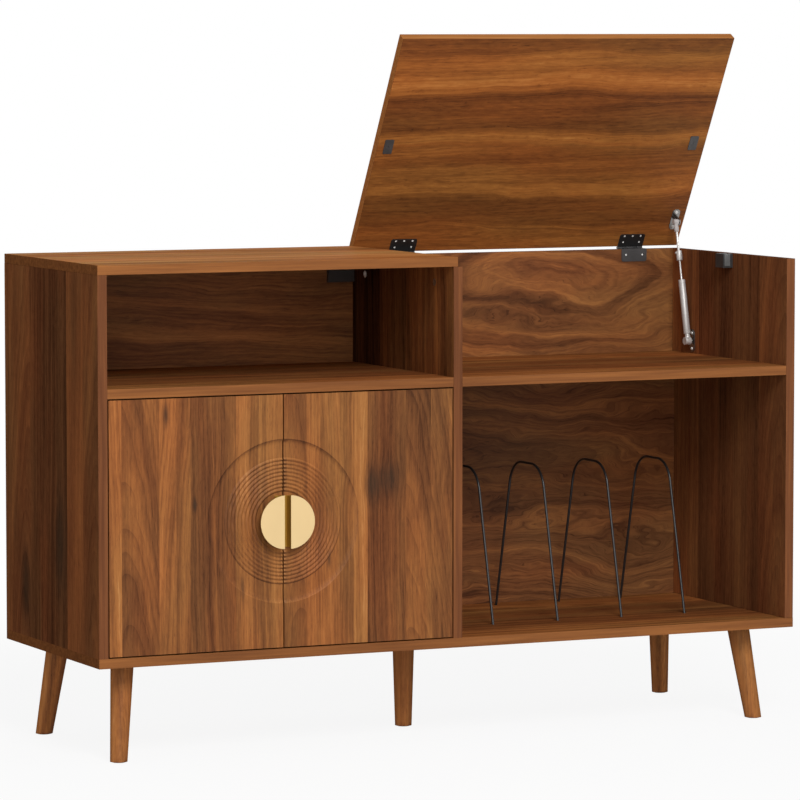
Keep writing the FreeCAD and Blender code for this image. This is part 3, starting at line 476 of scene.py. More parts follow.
def year_rings(tree, board, v_bent, strip, seed, figure):
    """Uneven rings, 0 to 1, and the late wood that ends each year."""
    lean = times(tree, times(tree, strip.slope, figure["taper"]),
                 calc(tree, "SUBTRACT", board.u, figure["root"]))
    aside = calc(tree, "SUBTRACT",
                 calc(tree, "MULTIPLY_ADD", lean, figure["slant"], v_bent), strip.heart)
    ripple = grain(tree, RIPPLE, board.u, board.v, seed)
    depth = total(tree, lean, swing(tree, ripple, RIPPLE_DEPTH), figure["depth"])
    radius = calc(tree, "SQRT", total(tree, times(tree, aside, aside),
                                      times(tree, depth, depth)))
    place = vector(tree, times(tree, radius, figure["rings"]), seed,
                   times(tree, board.u, RING_DRIFT))
    rings = noise(tree, place, 4, 0.62)
    growth = calc(tree, "FRACT", total(tree, times(tree, radius, YEARS),
                                       times(tree, rings, YEAR_WANDER)))
    return rings, calc(tree, "POWER", growth, LATE_WOOD)


print("figure:", ", ".join(FIGURE))

# %% [markdown]
# ## Fibres and pores
#
# On top of the rings come finer layers: soft clouds of colour, dark streaks, long fibres,
# small flecks and short dark pores. A single noise with a lot of detail would be as fine
# along the grain as across it, and look like stone. So each layer is a noise of its own,
# stretched along the grain by its own amount.

# %% The layers of the wood
HEART_SEED, TONE_SEED = 31.0, 17.0         # so that no two strips have the same noise
OPEN_PORE, DARK_STREAK = (0.62, 0.74), (0.60, 0.72)       # in the noise, from none to all
FIBRE_SHADE, LATE_SHADE, STREAK_SHADE, PORE_SHADE = 0.34, -0.11, -0.10, -0.16
FIBRE_RELIEF, PORE_RELIEF = 0.5, -0.6
Wood = namedtuple("Wood", "lightness relief fibres dark")


def walnut_wood(tree, board, strip, figure):
    """Lightness of the wood, about 0 to 1, height of its surface, its fibres, and how
    dark the knots make it."""
    seed = total(tree, times(tree, strip.heart, HEART_SEED),
                 times(tree, strip.tone, TONE_SEED))
    drift = grain(tree, (*figure["eddy"], 4), board.u, board.v, seed)
    dark, push = knot_field(tree, board, figure["knots"])
    v_bent = total(tree, board.v, swing(tree, drift, figure["waver"]), push)
    rings, late_wood = year_rings(tree, board, v_bent, strip, seed, figure)
    clouds = grain(tree, CLOUDS, board.u, v_bent, seed)
    streaks = grain(tree, STREAKS, board.u, v_bent, seed)
    fibres = fine_grain(tree, FIBRES, board, v_bent, roughness=0.6)
    flecks = fine_grain(tree, FLECKS, board, v_bent)
    open_pore = between(tree, fine_grain(tree, PORES, board, v_bent), *OPEN_PORE)
    dark_streak = between(tree, streaks, *DARK_STREAK)
    lines = total(tree, swing(tree, fibres, FIBRE_SHADE), times(tree, late_wood, LATE_SHADE),
                  times(tree, dark_streak, STREAK_SHADE))
    lightness = total(tree, strip.tone, swing(tree, rings, figure["contrast"]),
                      swing(tree, clouds, figure["clouds"]),
                      swing(tree, flecks, figure["flecks"]),
                      times(tree, lines, figure["lines"]),
                      times(tree, open_pore, PORE_SHADE), times(tree, dark, -1.0))
    relief = total(tree, times(tree, fibres, FIBRE_RELIEF),
                   times(tree, open_pore, PORE_RELIEF))
    return Wood(lightness, relief, fibres, dark)


print("fibres and pores ready")

# %% [markdown]
# ## The colour of a board
#
# Two layers make the colour of a face: a ramp from dark to light brown, and a slow drift
# between a redder and a greener brown, which no ramp of lightness alone can give. Round a
# knot the wood turns a smoky grey brown.
#
# Where a cutter has turned a relief into the face, it cuts across the fibres and shows
# darker wood. On top of that, slopes that look down get painted shade, and slopes that
# look up get painted light.

# %% The face of a board
WALNUT = [(0.0, srgb(46, 25, 13)), (0.22, srgb(86, 50, 28)), (0.42, srgb(117, 71, 40)),
          (0.58, srgb(141, 88, 48)), (0.78, srgb(170, 109, 59)), (1.0, srgb(198, 139, 84))]
REDDER, GREENER = (1.06, 0.96, 0.93, 1), (0.94, 1.03, 1.04, 1)
HUES, HUE_STEP = (2.4, 13.0, 3), (0.32, 0.68)
SMOKY, SMOKE_STRENGTH, SMOKE_MOST = (*srgb(74, 56, 41), 1), 2.4, 0.7
# how far a surface faces through the board: from band to face, and from flat to sloped
ON_FACE, SLOPED = (0.5, 0.8), (0.985, 0.90)
# darker cut wood on every slope, then painted light or shade by which way a slope faces
TURNED_EDGE, PAINTED_SLOPE_LIGHT = -0.09, 0.45


def face_colour(tree, board, strip, wood, palette, upper, knotty):
    facing = calc(tree, "ABSOLUTE", board.upward)
    # painted light and shade on the relief's slopes, on top of the darker cut wood
    turned = times(tree, between(tree, facing, *SLOPED),
                   calc(tree, "MULTIPLY_ADD", board.endwise, PAINTED_SLOPE_LIGHT, TURNED_EDGE))
    colour = colour_ramp(tree, total(tree, wood.lightness, turned), palette)
    # painted light: the upper face is drawn lighter, from the plain browns
    if upper:
        lit = colour_ramp(tree, calc(tree, "MULTIPLY_ADD", wood.lightness, *upper), WALNUT)
        colour = mix_colour(tree, between(tree, board.upward, *ON_FACE), colour, lit)
    drift = grain(tree, HUES, board.u, board.v, strip.heart)
    hue = mix_colour(tree, between(tree, drift, *HUE_STEP), REDDER, GREENER)
    colour = mix_colour(tree, 1.0, colour, hue, "MULTIPLY")
    if knotty:
        smoke = calc(tree, "MINIMUM", times(tree, wood.dark, SMOKE_STRENGTH), SMOKE_MOST)
        colour = mix_colour(tree, smoke, colour, SMOKY)
    return colour


print(len(WALNUT), "browns from dark to light")

# %% [markdown]
# The boards are cores with a wood face and a thin band glued round their edges. The band
# is cut from other wood, so its colour and its grain differ from the face, and that gives
# the front of such a cabinet its light outline. It could be a piece of its own round every
# edge. It is simpler to let the shader look at which way the surface faces.

# %% The band round a board
BAND_STREAKS, BAND_CLOUDS = (6.0, 210.0, 4), (4.0, 1.0, 1)
BAND_STREAK_SHADE, BAND_CLOUD_SHADE = 0.55, 0.25


def band_colour(tree, board, light, at_ends, palette):
    streaks = fine_grain(tree, BAND_STREAKS, board, board.v, roughness=0.6)
    clouds = grain(tree, BAND_CLOUDS, board.u, board.v, board.w)
    ends = times(tree, calc(tree, "ABSOLUTE", board.endwise), at_ends)
    return colour_ramp(tree, total(tree, light, swing(tree, streaks, BAND_STREAK_SHADE), ends,
                                   swing(tree, clouds, BAND_CLOUD_SHADE)), palette)


print("edge band ready")

# %% [markdown]
# The finish is a satin lacquer. A coat layer would mirror the room at low angles, which a
# matt lacquer hardly does. So the gloss sits in the shader itself and fades where the
# surface turns away from the eye. The fibres break it up a little, and a very small bump
# makes the pores catch the light.

# %% Lacquer, and one function for every board
GLOSS = 0.10                  # specular level of the lacquer, seen face on
TURNED_AWAY = (0.55, 0.2)     # where the gloss is gone, and where it is whole
ROUGHNESS, FIBRE_ROUGHNESS = 0.36, 0.16
PORE_DEPTH = 0.2 * MM
BENDS = (2.6, 3.0, 3)


def lacquer(tree, shader, wood, sheen):
    roughness = calc(tree, "MULTIPLY_ADD", wood.fibres, FIBRE_ROUGHNESS, ROUGHNESS)
    angle = add(tree, "LayerWeight", inputs={0: 0.5}, output=1)
    gloss = times(tree, between(tree, angle, *TURNED_AWAY), GLOSS)
    bump = add(tree, "Bump",
               inputs={"Strength": 0.35, "Distance": PORE_DEPTH, "Height": wood.relief})
    plug(tree, shader, {"Roughness": roughness, "Normal": bump,
                        "Specular IOR Level": calc(tree, "MAXIMUM", gloss, sheen)})


def wood_board(name, along, across, strips, start, width, palette=WALNUT, band=0.45,
               band_palette=WALNUT, joints="CONSTANT", lid=False, upper=None, **changes):
    """A walnut board. strips: (where it starts, tone, heart, slope), in mm from start.
    upper: contrast and lightness of its upper face, painted lighter than its underside.
    changes: what differs from the usual figure."""
    figure = {**FIGURE, **changes}
    material, tree, shader = new_material(name)
    board = board_place(tree, along, across, lid)
    v_joint = board.v
    if figure["soft_joint"]:
        bends = grain(tree, BENDS, board.u, board.v, board.w)
        v_joint = total(tree, board.v, swing(tree, bends, figure["soft_joint"]))
    strip = strip_at(tree, v_joint, start, width, strips, joints)
    wood = walnut_wood(tree, board, strip, figure)
    face = face_colour(tree, board, strip, wood, palette, upper, figure["knots"])
    edge = band_colour(tree, board, band, figure["end_band"], band_palette)
    on_face = between(tree, calc(tree, "ABSOLUTE", board.upward), *ON_FACE)
    plug(tree, shader, {"Base Color": mix_colour(tree, on_face, edge, face)})
    lacquer(tree, shader, wood, figure["sheen"])
    return material


print("board finish ready")

# %% [markdown]
# ## The doors
#
# The doors are the showpiece. Their strips stand upright and run on from one door to the
# other, broad brown cathedrals next to narrow golden ones, and a smoky knot sits high on
# the right. One material for both doors keeps the run unbroken at the seam. The list
# starts at the cabinet's left end, so the strips can be read off with a tape measure.

# %% Walnut for the doors
DOOR_STRIPS = [
    (0, 0.66, -60, 0.03), (36, 0.53, 66, 0.085), (95, 0.66, 190, -0.09),
    (122, 0.51, 190, -0.09), (150, 0.48, 300, 0.04), (190, 0.44, 290, 0.02),
    (222, 0.67, 30, 0.03), (262, 0.61, 120, 0.03), (303, 0.58, 340, 0.05),
    (338, 0.66, 470, 0.02), (365, 0.62, 250, 0.03), (396, 0.60, 560, -0.03),
    (420, 0.68, 620, 0.03), (445, 0.43, 620, 0.05), (475, 0.44, 620, 0.05),
    (508, 0.45, 535, 0.09), (550, 0.55, 535, 0.09)]
# knots: how high, how far from the left or the front, height, width (mm), and how dark
DOOR_KNOTS = [(413, 454, 26, 13, 0.19), (420, 484, 26, 18, 0.17), (531, 110, 16, 5, 0.20),
              (393, 157, 9, 3, 0.25), (298, 381, 12, 2.5, 0.22), (262, 236, 18, 3, 0.16)]
doors_walnut = wood_board("doors_walnut", "z", "x", DOOR_STRIPS, LEFT, WIDTH, root=0.0,
                          knots=placed(DOOR_KNOTS, LEFT))
print(len(DOOR_STRIPS), "strips across the doors")

# %% [markdown]
# ## The case
#
# Upright boards have upright grain, and level boards have grain that runs from end to end.
# The outer sides are darker than the doors, and each has strips of its own, counted from
# the front. The rest of the case is ordinary wood, so a seeded run of strips will do: the
# same seed gives the same boards every time. The divider adds one dark strip at its back.
# The top is the lightest board: its tone is painted lighter for the light that falls on it,
# and it keeps a little more of the lacquer's gloss.

# %% Walnut for the sides
LEFT_STRIPS = [(0, 0.48, 30, 0.08), (62, 0.55, -200, 0.03), (130, 0.34, 420, 0.03),
               (175, 0.34, -60, 0.03), (245, 0.38, 600, 0.04), (288, 0.48, 325, 0.09),
               (372, 0.52, 700, 0.03)]
LEFT_KNOTS = [(325, 160, 75, 24, 0.24), (245, 312, 60, 18, 0.22)]
RIGHT_STRIPS = [(0, 0.50, 40, 0.08), (88, 0.35, 300, 0.03), (124, 0.43, 520, 0.03),
                (175, 0.40, -100, 0.04), (226, 0.36, 700, 0.03), (293, 0.55, 600, 0.03),
                (383, 0.42, 500, 0.03)]


def tint(palette, red, green, blue):
    """The same palette with each colour scaled."""
    return [(place, (colour[0] * red, colour[1] * green, colour[2] * blue))
            for place, colour in palette]


PINK_BAND = tint(WALNUT, 0.98, 0.96, 1.08)
sides = {}
for side, strips, knots in (("left", LEFT_STRIPS, LEFT_KNOTS), ("right", RIGHT_STRIPS, ())):
    sides[side] = wood_board(side + "_side_walnut", "z", "y", strips, FRONT, DEPTH,
                             palette=tint(WALNUT, 0.98, 0.98, 1.12), band_palette=PINK_BAND,
                             band=0.43, contrast=0.6, clouds=0.42, lines=0.7,
                             knots=placed(knots, FRONT))
print("sides:", len(LEFT_STRIPS), "and", len(RIGHT_STRIPS), "strips")

# %% Walnut for the divider and the level boards
NARROWEST, WIDEST = 45, 105
HEARTS = (0.5, -2.0, 2.6, 4.0, -3.0)       # in widths of the strip, from where it starts
FLATTEST, STEEPEST = 0.02, 0.07
TONE_SPREAD = 0.12
DARK_STRIP = (273, 0.19, 111, -0.03)


def laid_up(seed, light):
    """A seeded run of strips from front to back."""
    pick = random.Random(seed)
    strips, begins = [], 0.0
    while begins < DEPTH / MM:
        step = pick.uniform(NARROWEST, WIDEST)
        heart = begins + step * pick.choice(HEARTS)
        strips.append((begins, light + pick.uniform(-TONE_SPREAD, TONE_SPREAD), heart,
                       pick.choice((-1, 1)) * pick.uniform(FLATTEST, STEEPEST)))
        begins += step
    return strips


divider_walnut = wood_board("divider_walnut", "z", "y", laid_up(5, 0.42)[:4] + [DARK_STRIP],
                            FRONT, DEPTH, band_palette=PINK_BAND, band=0.42)
level_walnut = wood_board("level_walnut", "x", "y", laid_up(11, 0.55), FRONT, DEPTH,
                          band=0.55, waver=0.02)
# painted light: the top's tone is raised for the light that falls on it
top_painted_light_walnut = wood_board("top_painted_light_walnut", "x", "y", laid_up(3, 0.86), FRONT, DEPTH,
                        band=0.6, waver=0.02, sheen=0.0003)
print("case finishes: divider, level boards, top")

# %% [markdown]
# The backs and the rail behind the turntable bay are single wide sheets, so each has one
# strip. Bending the grain a long way, with wide soft rings, turns it into the swirls of a
# wild sheet. On the rail the arches also close very fast, which draws them together into
# rings round one eye.

# %% Walnut for the backs and the rail
RAIL_HEIGHT = 175 * MM
rail_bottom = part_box("lid_rail_panel")[0].z
backs = {}
# painted light and shade: the left bay's back gets a lighter tone, the record bay's a darker one
for bay, light, waver in (("left", 0.55, 0.05), ("record_bay", 0.46, 0.17)):
    backs[bay] = wood_board(bay + "_back_walnut", "x", "z", [(0, light, 260, 0.06)],
                            case_low.z, HEIGHT, palette=tint(WALNUT, 0.96, 1.02, 1.14),
                            waver=waver, contrast=1.1, clouds=0.4, rings=45.0,
                            eddy=(3.5, 9.0))
rail_walnut = wood_board("rail_walnut", "x", "z", [(0, 0.55, 128, 0.1)], rail_bottom,
                         RAIL_HEIGHT, palette=tint(WALNUT, 1.0, 1.04, 1.10), waver=0.10,
                         rings=30.0, contrast=1.9, clouds=0.3, lines=0.5, eddy=(5.0, 12.0),
                         taper=2.4, root=0.487, slant=0.0)
print("backs:", sorted(backs), "and the rail")

# %% [markdown]
# ## The lid
#
# The lid's grain runs from side to side, in broad soft bands with no hard joints: a dark
# reddish one along the free edge, then golden, then dark again. An eased ramp and a bent
# border between the bands give that. The list runs from the free edge to the hinges. The
# lid is warmer than the doors, and its upper face gets painted light, so that it matches
# the painted light of the top board beside it.

# %% Walnut for the lid
LID_STRIPS = [
    (0, 0.44, -300, 0.02), (22, 0.50, -300, 0.02), (36, 0.72, -260, 0.03),
    (62, 0.70, -260, 0.02), (82, 0.84, -220, 0.02), (96, 0.70, -220, 0.02),
    (108, 0.38, -220, 0.02), (120, 0.46, -180, 0.03), (165, 0.44, -180, 0.03),
    (186, 0.76, -120, 0.04), (206, 0.56, 700, 0.05), (262, 0.62, 700, 0.05),
    (284, 0.74, 720, 0.04), (302, 0.46, 760, 0.03), (340, 0.44, 760, 0.02),
    (364, 0.64, 800, 0.02), (399, 0.56, 800, 0.02)]
# upper: painted light on the lid's upper face, to match the top board
lid_walnut = wood_board("lid_walnut", "x", "y", LID_STRIPS, FRONT, DEPTH,
                        palette=tint(WALNUT, 0.98, 0.91, 0.70), joints="EASE", lid=True,
                        band=0.80, clouds=0.4, contrast=0.5, flecks=0.36, lines=0.6,
                        soft_joint=0.07, end_band=0.0, upper=(0.7, 0.44))
print(len(LID_STRIPS), "soft bands on the lid")

# %% [markdown]
# ## The legs
#
# The legs are turned from one piece each, so they need no strips, and their face and their
# band are the same wood. The three behind are painted paler than the front pair, painted
# light against the shade under the case, so a loop makes two finishes.

# %% Walnut for the legs
legs = {}
# painted light: the legs behind get a larger lift against the shade under the case
for row, painted_light_lift in (("front", 1.08), ("back", 1.32)):
    painted_light_palette = tint(WALNUT, painted_light_lift, painted_light_lift, painted_light_lift)
    legs[row] = wood_board(row + "_legs_walnut", "z", "x", [(0, 0.72, -90, 0.01)], LEFT,
                           WIDTH, palette=painted_light_palette, band_palette=painted_light_palette, band=0.72,
                           waver=0.006, clouds=0.1, contrast=0.4)
print("legs finishes:", sorted(legs))

# %% [markdown]
# ## Metals and plastics
#
# Metal needs little colour and a lot of surface. Steel parts are stamped, so they carry
# faint rolling lines, and the black ones are lacquered. One flat colour with one roughness
# would look like paint on a screen. So each finish is a base colour that drifts slightly,
# a roughness that drifts with it, and a bump at the scale of the tool marks.

# %% A maker of metal and plastic finishes
MARKS_FINER = 22              # tool marks are this many times finer than the drift
TOOL_MARK = 0.04 * MM
GLOSS_DRIFT, MARK_DRIFT = 0.1, 0.08


def hard_finish(name, colour, metallic, roughness, drift, scale=60.0, coat=0.0,
                stretch=(1, 1, 1)):
    """A metal or a plastic whose colour and gloss drift a little over the surface."""
    material, tree, shader = new_material(name)
    stretched = add(tree, "VectorMath", {"operation": "MULTIPLY"},
                    {0: texture_places(tree)[0], 1: stretch})
    cloud = noise(tree, stretched, 3.0, 0.55, scale)
    marks = noise(tree, stretched, 2.0, 0.6, scale * MARKS_FINER)
    dark = tuple(channel * (1 - 2 * drift) for channel in colour)
    light = tuple(min(1.0, channel * (1 + 2 * drift)) for channel in colour)
    plug(tree, shader, {
        "Base Color": colour_ramp(tree, cloud, [(0.3, dark), (0.7, light)]),
        "Roughness": total(tree, swing(tree, cloud, GLOSS_DRIFT),
                           swing(tree, marks, MARK_DRIFT), roughness),
        "Metallic": metallic, "Coat Weight": coat,
        "Normal": add(tree, "Bump", inputs={"Strength": 0.15, "Distance": TOOL_MARK,
                                            "Height": marks})})
    return material


# name: colour, how metallic, roughness, drift, then scale and coat where they differ
HARD_FINISHES = {
    "black_steel": (srgb(30, 29, 29), 0.0, 0.38, 0.08, 60.0, 0.2),
    "rail_leaf_steel": (srgb(58, 56, 56), 0.0, 0.42, 0.08),
    "strike_steel": (srgb(72, 70, 70), 0.3, 0.5, 0.1),
    "nickel": (srgb(140, 137, 134), 0.9, 0.24, 0.05),
    "hinge_steel": (srgb(170, 169, 166), 1.0, 0.32, 0.05),
    "tube_silver": (srgb(196, 193, 190), 0.3, 0.42, 0.03),
    "rod_steel": (srgb(212, 210, 207), 0.35, 0.3, 0.03),
    "screw_zinc": (srgb(226, 224, 220), 0.35, 0.34, 0.04, 300.0),
    # painted highlight for the middle of the hinge screws
    "painted_highlight_steel": (srgb(248, 246, 243), 0.2, 0.3, 0.04, 300.0),
    "magnet_steel": (srgb(122, 124, 124), 0.6, 0.45, 0.08),
    "wire_black": (srgb(28, 27, 27), 0.0, 0.4, 0.1, 90.0, 0.15),
    "catch_plastic": (srgb(44, 43, 43), 0.0, 0.5, 0.08),
    "brace_plastic": (srgb(62, 57, 55), 0.0, 0.34, 0.06),
    "fitting_plastic": (srgb(186, 180, 178), 0.0, 0.42, 0.04),
    "glide_nylon": (srgb(52, 50, 48), 0.0, 0.6, 0.08)}
hard = {name: hard_finish(name, *numbers) for name, numbers in HARD_FINISHES.items()}
print(len(hard), "hard finishes")

# %% [markdown]
# Two parts show two colours. The brass discs are satin brass on their front, and every side
# that doesn't face forward, with all that stands behind, is painted a deeper, darker brass
# as painted shade. The cam locks are painted near white at the back of the case, a painted
# highlight, and dark brown at its front. Either could be two solids. A border in the
# material is enough, and it keeps each part whole.

# %% Brass handles and cam locks
PURE_WHITE = (1, 1, 1)
# borders of the painted shade on the brass, and of the cams' painted highlight at the back
DISC_BORDER = (FRONT - 13.5 * MM, FRONT - 14.5 * MM)
CAM_DARK_FRONT_BORDER = (10 * MM, -10 * MM)
LOOKS_FORWARD = (-0.3, -0.8)


def painted_light_two_tone(material, front, back, border, looking=None):
    """Colour a white finish. border: where the front colour begins and where it is pure,
    along y. looking: the same for how far a surface faces back, -1 to 1."""
    tree = material.node_tree
    shader = next(node for node in tree.nodes if node.type == "BSDF_PRINCIPLED")
    drift = shader.inputs["Base Color"].links[0].from_socket
    place, facing = texture_places(tree)
    share = between(tree, add(tree, "SeparateXYZ", inputs={0: place}, output=1), *border)
    if looking:
        backward = add(tree, "SeparateXYZ", inputs={0: facing}, output=1)
        share = times(tree, share, between(tree, backward, *looking))
    tone = mix_colour(tree, share, (*back, 1), (*front, 1))
    plug(tree, shader, {"Base Color": mix_colour(tree, 1.0, tone, drift, "MULTIPLY")})
    return material


# painted shade: the brass behind the discs' front, and its sides, are drawn darker
brass_with_painted_shade = painted_light_two_tone(
    hard_finish("brass_with_painted_shade", PURE_WHITE, 0.55, 0.42, 0.02, 12.0, stretch=(1.0, 1.0, 0.3)),
    srgb(231, 200, 146), srgb(176, 136, 52), DISC_BORDER, LOOKS_FORWARD)
# painted highlight: the cams at the back are near white; those at the front are dark brown
cam_zinc = painted_light_two_tone(hard_finish("cam_zinc", PURE_WHITE, 0.0, 0.35, 0.06, 140.0),
                    srgb(112, 80, 56), srgb(252, 246, 240), CAM_DARK_FRONT_BORDER)
print("two-tone finishes:", brass_with_painted_shade.name, cam_zinc.name)

# %% [markdown]
# ## Dressing the solids
#
# Each solid could be dressed by hand. One list of names does it at once, and a node that
# the list lacks stops the script.

# %% Give every node its finish
FINISH = {
    "left_side_panel": sides["left"], "right_side_panel": sides["right"],
    "centre_divider": divider_walnut, "top_board": top_painted_light_walnut, "bottom_board": level_walnut,
    "left_shelf": level_walnut, "right_shelf": level_walnut, "lid_rail_panel": rail_walnut,
    "left_back_panel": backs["left"], "record_bay_back_panel": backs["record_bay"],
    "lid_panel": lid_walnut, "cam_locks": cam_zinc,
    "back_corner_brace": hard["brace_plastic"], "leg_plates": hard["black_steel"],
    "leg_glides": hard["glide_nylon"], "leg_hanger_bolts": hard["screw_zinc"],
    "lid_catch_magnets": hard["magnet_steel"], "strut_side_bracket": hard["nickel"],
    "strut_tube": hard["tube_silver"], "strut_rod": hard["rod_steel"],
    "strut_end_fitting": hard["fitting_plastic"], "strut_collar": hard["tube_silver"],
    "strut_lid_bracket": hard["nickel"], "hinge_plates": hard["hinge_steel"],
    "door_catch": hard["catch_plastic"]}
PAIRS = {"_door": doors_walnut, "_handle": brass_with_painted_shade, "_hinge_cups": hard["hinge_steel"],
         "_hinge_arms": hard["hinge_steel"], "_door_strike": hard["hinge_steel"],
         "_lid_hinge_lid_leaf": hard["black_steel"], "_lid_hinge_pin": hard["black_steel"],
         "_lid_hinge_rail_leaf": hard["rail_leaf_steel"],
         "_strike_plate": hard["strike_steel"], "_lid_catch": hard["catch_plastic"]}
for side in ("left", "right"):
    FINISH.update({side + part: finish for part, finish in PAIRS.items()})
for name in nodes:
    if name.endswith("_leg"):
        FINISH[name] = legs["front" if name.startswith("front") else "back"]
    if name.startswith("wire_divider"):
        FINISH[name] = hard["wire_black"]

for name, node in nodes.items():
    node.data.materials.clear()
    node.data.materials.append(FINISH[name])
print("dressed", len(nodes), "nodes")

# %% [markdown]
# Real edges are never knife-sharp. Rounding them in the solid model would make it heavy,
# so every node but the wires, which are round already, gets two modifiers: Weld joins the
# corners that belong together, and Bevel rounds the sharp edges by a fraction of a
# millimetre, just enough to catch a line of light.

# %% Soften the edges
ROUNDING = {"board": 0.6 * MM, "hardware": 0.15 * MM}
SHARP = math.radians(50)      # edges that turn more than this get rounded
WELD_DISTANCE = 0.01 * MM


def soften(node, radius):
    """Round a node's sharp edges without touching its mesh."""
    weld = node.modifiers.new("weld", "WELD")
    weld.merge_threshold = WELD_DISTANCE
    bevel = node.modifiers.new("soft_edges", "BEVEL")
    bevel.width = radius
    bevel.segments = 2
    bevel.limit_method = "ANGLE"
    bevel.angle_limit = SHARP
    bevel.harden_normals = True


for name, node in nodes.items():
    if not name.startswith("wire_divider"):
        kind = "board" if FINISH[name].name.endswith("walnut") else "hardware"
        soften(node, ROUNDING[kind])
print("edges rounded by, in metres:", ROUNDING)

# %% [markdown]
# ## Screws
#
# Screws are small, but the eye finds them at once on black hinges. A screw head is a
# turned profile with a cross pressed into it. A bump map of a cross would vanish from the
# side, so we build one head in mesh code: rings of points for the profile, a flat top with
# a cross-shaped hole in it, and the cross sunk down as a tapered pocket. Every screw is
# then a copy of that head, turned to face outward from the part it holds.
#
# The hinges' black screws have a painted highlight in the middle: the top and the cross
# have a near-white finish of their own.

# %% A screw head with a cross recess
RING_POINTS = 24
FLOOR_REACH, FLOOR_WIDTH = 0.72, 0.6       # the cross narrows to these shares at its floor
Head = namedtuple("Head", "profile reach half_width sink")
# profile: (radius, height) from the seat to the top, in mm, then the cross and its depth
FLAT_HEAD = Head([(1.5, -1.0), (2.4, -0.12), (2.45, -0.05), (2.36, 0.0)], 1.35, 0.32, 0.75)
# the head with a disc on its top that carries the painted highlight
PAINTED_HIGHLIGHT_HEAD = FLAT_HEAD._replace(profile=FLAT_HEAD.profile + [(1.6, 0.0)])
PAN_HEAD = Head([(2.6, 0.0), (2.6, 0.35), (2.42, 0.75), (2.0, 1.05), (1.45, 1.2)],
                1.2, 0.3, 0.7)
BOLT_HEAD = Head([(4.0, 0.0), (4.0, 0.7), (3.75, 1.5), (3.2, 2.1), (2.4, 2.4)],
                 2.0, 0.5, 1.4)


def cross_outline(reach, half_width):
    """The twelve corners of a cross, counter-clockwise."""
    quarter = [(reach, -half_width), (reach, half_width), (half_width, half_width)]
    corners = []
    for turn in range(4):
        angle = turn * math.pi / 2
        corners += [(x * math.cos(angle) - y * math.sin(angle),
                     x * math.sin(angle) + y * math.cos(angle)) for x, y in quarter]
    return corners


def add_head(shape, head, place):
    """One screw head in a bmesh. Its top and its cross are of the second material."""
    def loop(points, height):
        return [shape.verts.new(place @ Vector((x, y, height))) for x, y in points]

    def wall(lower, upper):
        count = len(lower)
        for k in range(count):
            shape.faces.new((lower[k], lower[(k + 1) % count],
                             upper[(k + 1) % count], upper[k]))

    angles = [2 * math.pi * k / RING_POINTS for k in range(RING_POINTS)]
    rings = [loop([(math.cos(angle) * radius, math.sin(angle) * radius)
                   for angle in angles], height)
             for radius, height in head.profile]
    for lower, upper in zip(rings, rings[1:]):
        wall(lower, upper)
    shape.faces.new(list(reversed(rings[0])))
    outer = set(shape.faces)

    top = head.profile[-1][1]
    mouth = loop(cross_outline(head.reach, head.half_width), top)
    floor = loop(cross_outline(head.reach * FLOOR_REACH, head.half_width * FLOOR_WIDTH),
                 top - head.sink)
    wall(floor, mouth)
    shape.faces.new(floor)
    edges = []
    for ring in (rings[-1], mouth):
        for k in range(len(ring)):
            pair = (ring[k], ring[(k + 1) % len(ring)])
            edges.append(shape.edges.get(pair) or shape.edges.new(pair))
    bmesh.ops.triangle_fill(shape, use_beauty=True, edges=edges)
    for face in shape.faces:
        if face not in outer:
            face.material_index = 1


print("screw head has", RING_POINTS, "points round")

# %% A set of screws
def facing_out(place, outward):
    """A transform in millimetres that stands a head at place, its top facing outward."""
    turn = outward.to_track_quat("Z", "Y").to_matrix().to_4x4()
    return Matrix.Translation(place) @ turn @ Matrix.Diagonal((MM, MM, MM, 1))


def make_screws(name, body, places, outward, head=PAN_HEAD, turn=None,
                finish=hard["screw_zinc"], middle=None):
    """The screws that hold one part, all facing outward. turn: swings screws that are
    placed with the lid shut. middle: finish of the top and the cross, where it differs."""
    shape = bmesh.new()
    for place in places:
        add_head(shape, head, facing_out(Vector(place), outward))
    if turn is not None:
        shape.transform(turn)
    bmesh.ops.recalc_face_normals(shape, faces=shape.faces)
    mesh = bpy.data.meshes.new(name)
    shape.to_mesh(mesh)
    shape.free()
    mesh.materials.append(finish)
    mesh.materials.append(middle or finish)
    piece = bpy.data.objects.new(name, mesh)
    scene.collection.objects.link(piece)
    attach(piece, body)
    print(name, len(places))


print("sets of screws ready")

# %% [markdown]
# Each screw goes where the solid model has its hole, out from the middle of its plate. The
# lid's screws are placed with the lid shut, where all is square, and then swing open with
# it.

# %% Screws of the lid and its strut
DOWN, FORWARD, BACKWARD = Vector((0, 0, -1)), Vector((0, -1, 0)), Vector((0, 1, 0))
LID_BACK, LID_UNDER = BACK - 0.8 * MM, LID_PIN.z - 0.1 * MM     # of the shut lid
LEAF, STRIKE, BRACKET = 0.8 * MM, 1.2 * MM, 1.5 * MM       # thickness of the plates
# rows of hinge screws: how far ahead of the lid's back edge, and where along the leaf
FAR_ROW, NEAR_ROW = (20.6 * MM, (-15, 0, 15)), (8.8 * MM, (-15, 15))
RAIL_SCREW_BELOW, RAIL_SCREW_OUT = 9.2 * MM, 15.3
STRIKE_FROM_FRONT = 199 * MM
STRUT_PIN_AHEAD, LID_BRACKET_SCREWS = 58.2 * MM, (-10.0, 17.5)
FOOT_SCREW_OUT = 13
rail_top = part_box("lid_rail_panel")[1].z
# black hinge screws with a painted highlight on their top and cross
painted_highlight_screws = {"head": PAINTED_HIGHLIGHT_HEAD, "finish": hard["black_steel"], "middle": hard["painted_highlight_steel"]}

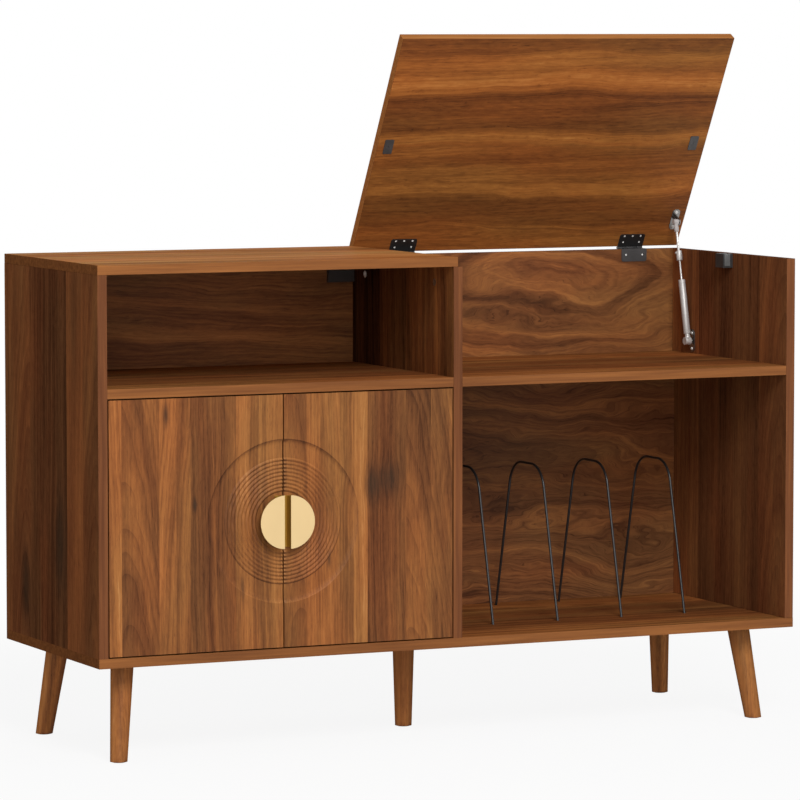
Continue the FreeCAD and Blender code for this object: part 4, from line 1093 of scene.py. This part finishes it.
for side in ("left", "right"):
    low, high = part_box(side + "_lid_hinge_rail_leaf")
    middle_x = (low.x + high.x) / 2
    places = [(middle_x + dx * MM, LID_BACK - ahead, LID_UNDER - LEAF)
              for ahead, row in (FAR_ROW, NEAR_ROW) for dx in row]
    make_screws(side + "_lid_hinge_screws", "lid", places, DOWN, turn=lid_swing, **painted_highlight_screws)
    places = [(middle_x + dx * MM, low.y, rail_top - RAIL_SCREW_BELOW)
              for dx in (-RAIL_SCREW_OUT, RAIL_SCREW_OUT)]
    make_screws(side + "_rail_leaf_screws", "carcass", places, FORWARD, **painted_highlight_screws)
    low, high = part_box(side + "_strike_plate")
    places = [((low.x + high.x) / 2, FRONT + STRIKE_FROM_FRONT, LID_UNDER - STRIKE)]
    make_screws(side + "_strike_screw", "lid", places, DOWN, FLAT_HEAD, turn=lid_swing,
                finish=hard["strike_steel"])

low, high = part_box("strut_side_bracket")
places = [(high.x - BRACKET, (low.y + high.y) / 2, (low.z + high.z) / 2 + dz * MM)
          for dz in (-FOOT_SCREW_OUT, FOOT_SCREW_OUT)]
make_screws("strut_foot_screws", "carcass", places, Vector((-1, 0, 0)))
low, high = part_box("strut_lid_bracket")
places = [((low.x + high.x) / 2, LID_PIN.y - STRUT_PIN_AHEAD + dy * MM, LID_UNDER - BRACKET)
          for dy in LID_BRACKET_SCREWS]
make_screws("strut_lid_bracket_screws", "lid", places, DOWN, turn=lid_swing)

# %% Screws of the door hinges and the handles
PLATE_SCREW_OUT, CUP_SCREW_OUT, BOLT_OUT = 16, 24, 26
HINGE_FROM_END, PLATE_FROM_FRONT = 75 * MM, 55 * MM
HINGE_PLATE, CUP_WALL = 2 * MM, 1.2 * MM
DOOR_GAP, CUP_FROM_EDGE, SCREW_BEHIND_CUP = 2, 20.5, 5.5
BOLT_FROM_SEAM = 7.65 * MM

door_low, door_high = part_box("left_door")
door_middle = (door_low.z + door_high.z) / 2
hinges = (door_low.z + HINGE_FROM_END, door_high.z - HINGE_FROM_END)
inner_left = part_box("left_side_panel")[1].x
for side, sense in (("left", 1), ("right", -1)):
    panel_x = DOOR_SEAM - sense * (DOOR_SEAM - inner_left)
    plate_x = panel_x + sense * HINGE_PLATE
    places = [(plate_x, FRONT + PLATE_FROM_FRONT, z + dz * MM)
              for z in hinges for dz in (-PLATE_SCREW_OUT, PLATE_SCREW_OUT)]
    make_screws(side + "_hinge_plate_screws", "carcass", places, Vector((sense, 0, 0)))
    cup_x = panel_x + sense * (DOOR_GAP + CUP_FROM_EDGE + SCREW_BEHIND_CUP) * MM
    places = [(cup_x, door_high.y + CUP_WALL, z + dz * MM)
              for z in hinges for dz in (-CUP_SCREW_OUT, CUP_SCREW_OUT)]
    make_screws(side + "_hinge_cup_screws", side + "_door_set", places, BACKWARD)
    bolt_x = DOOR_SEAM - sense * BOLT_FROM_SEAM
    places = [(bolt_x, door_high.y, door_middle + dz * MM) for dz in (-BOLT_OUT, BOLT_OUT)]
    make_screws(side + "_handle_bolts", side + "_door_set", places, BACKWARD, BOLT_HEAD)
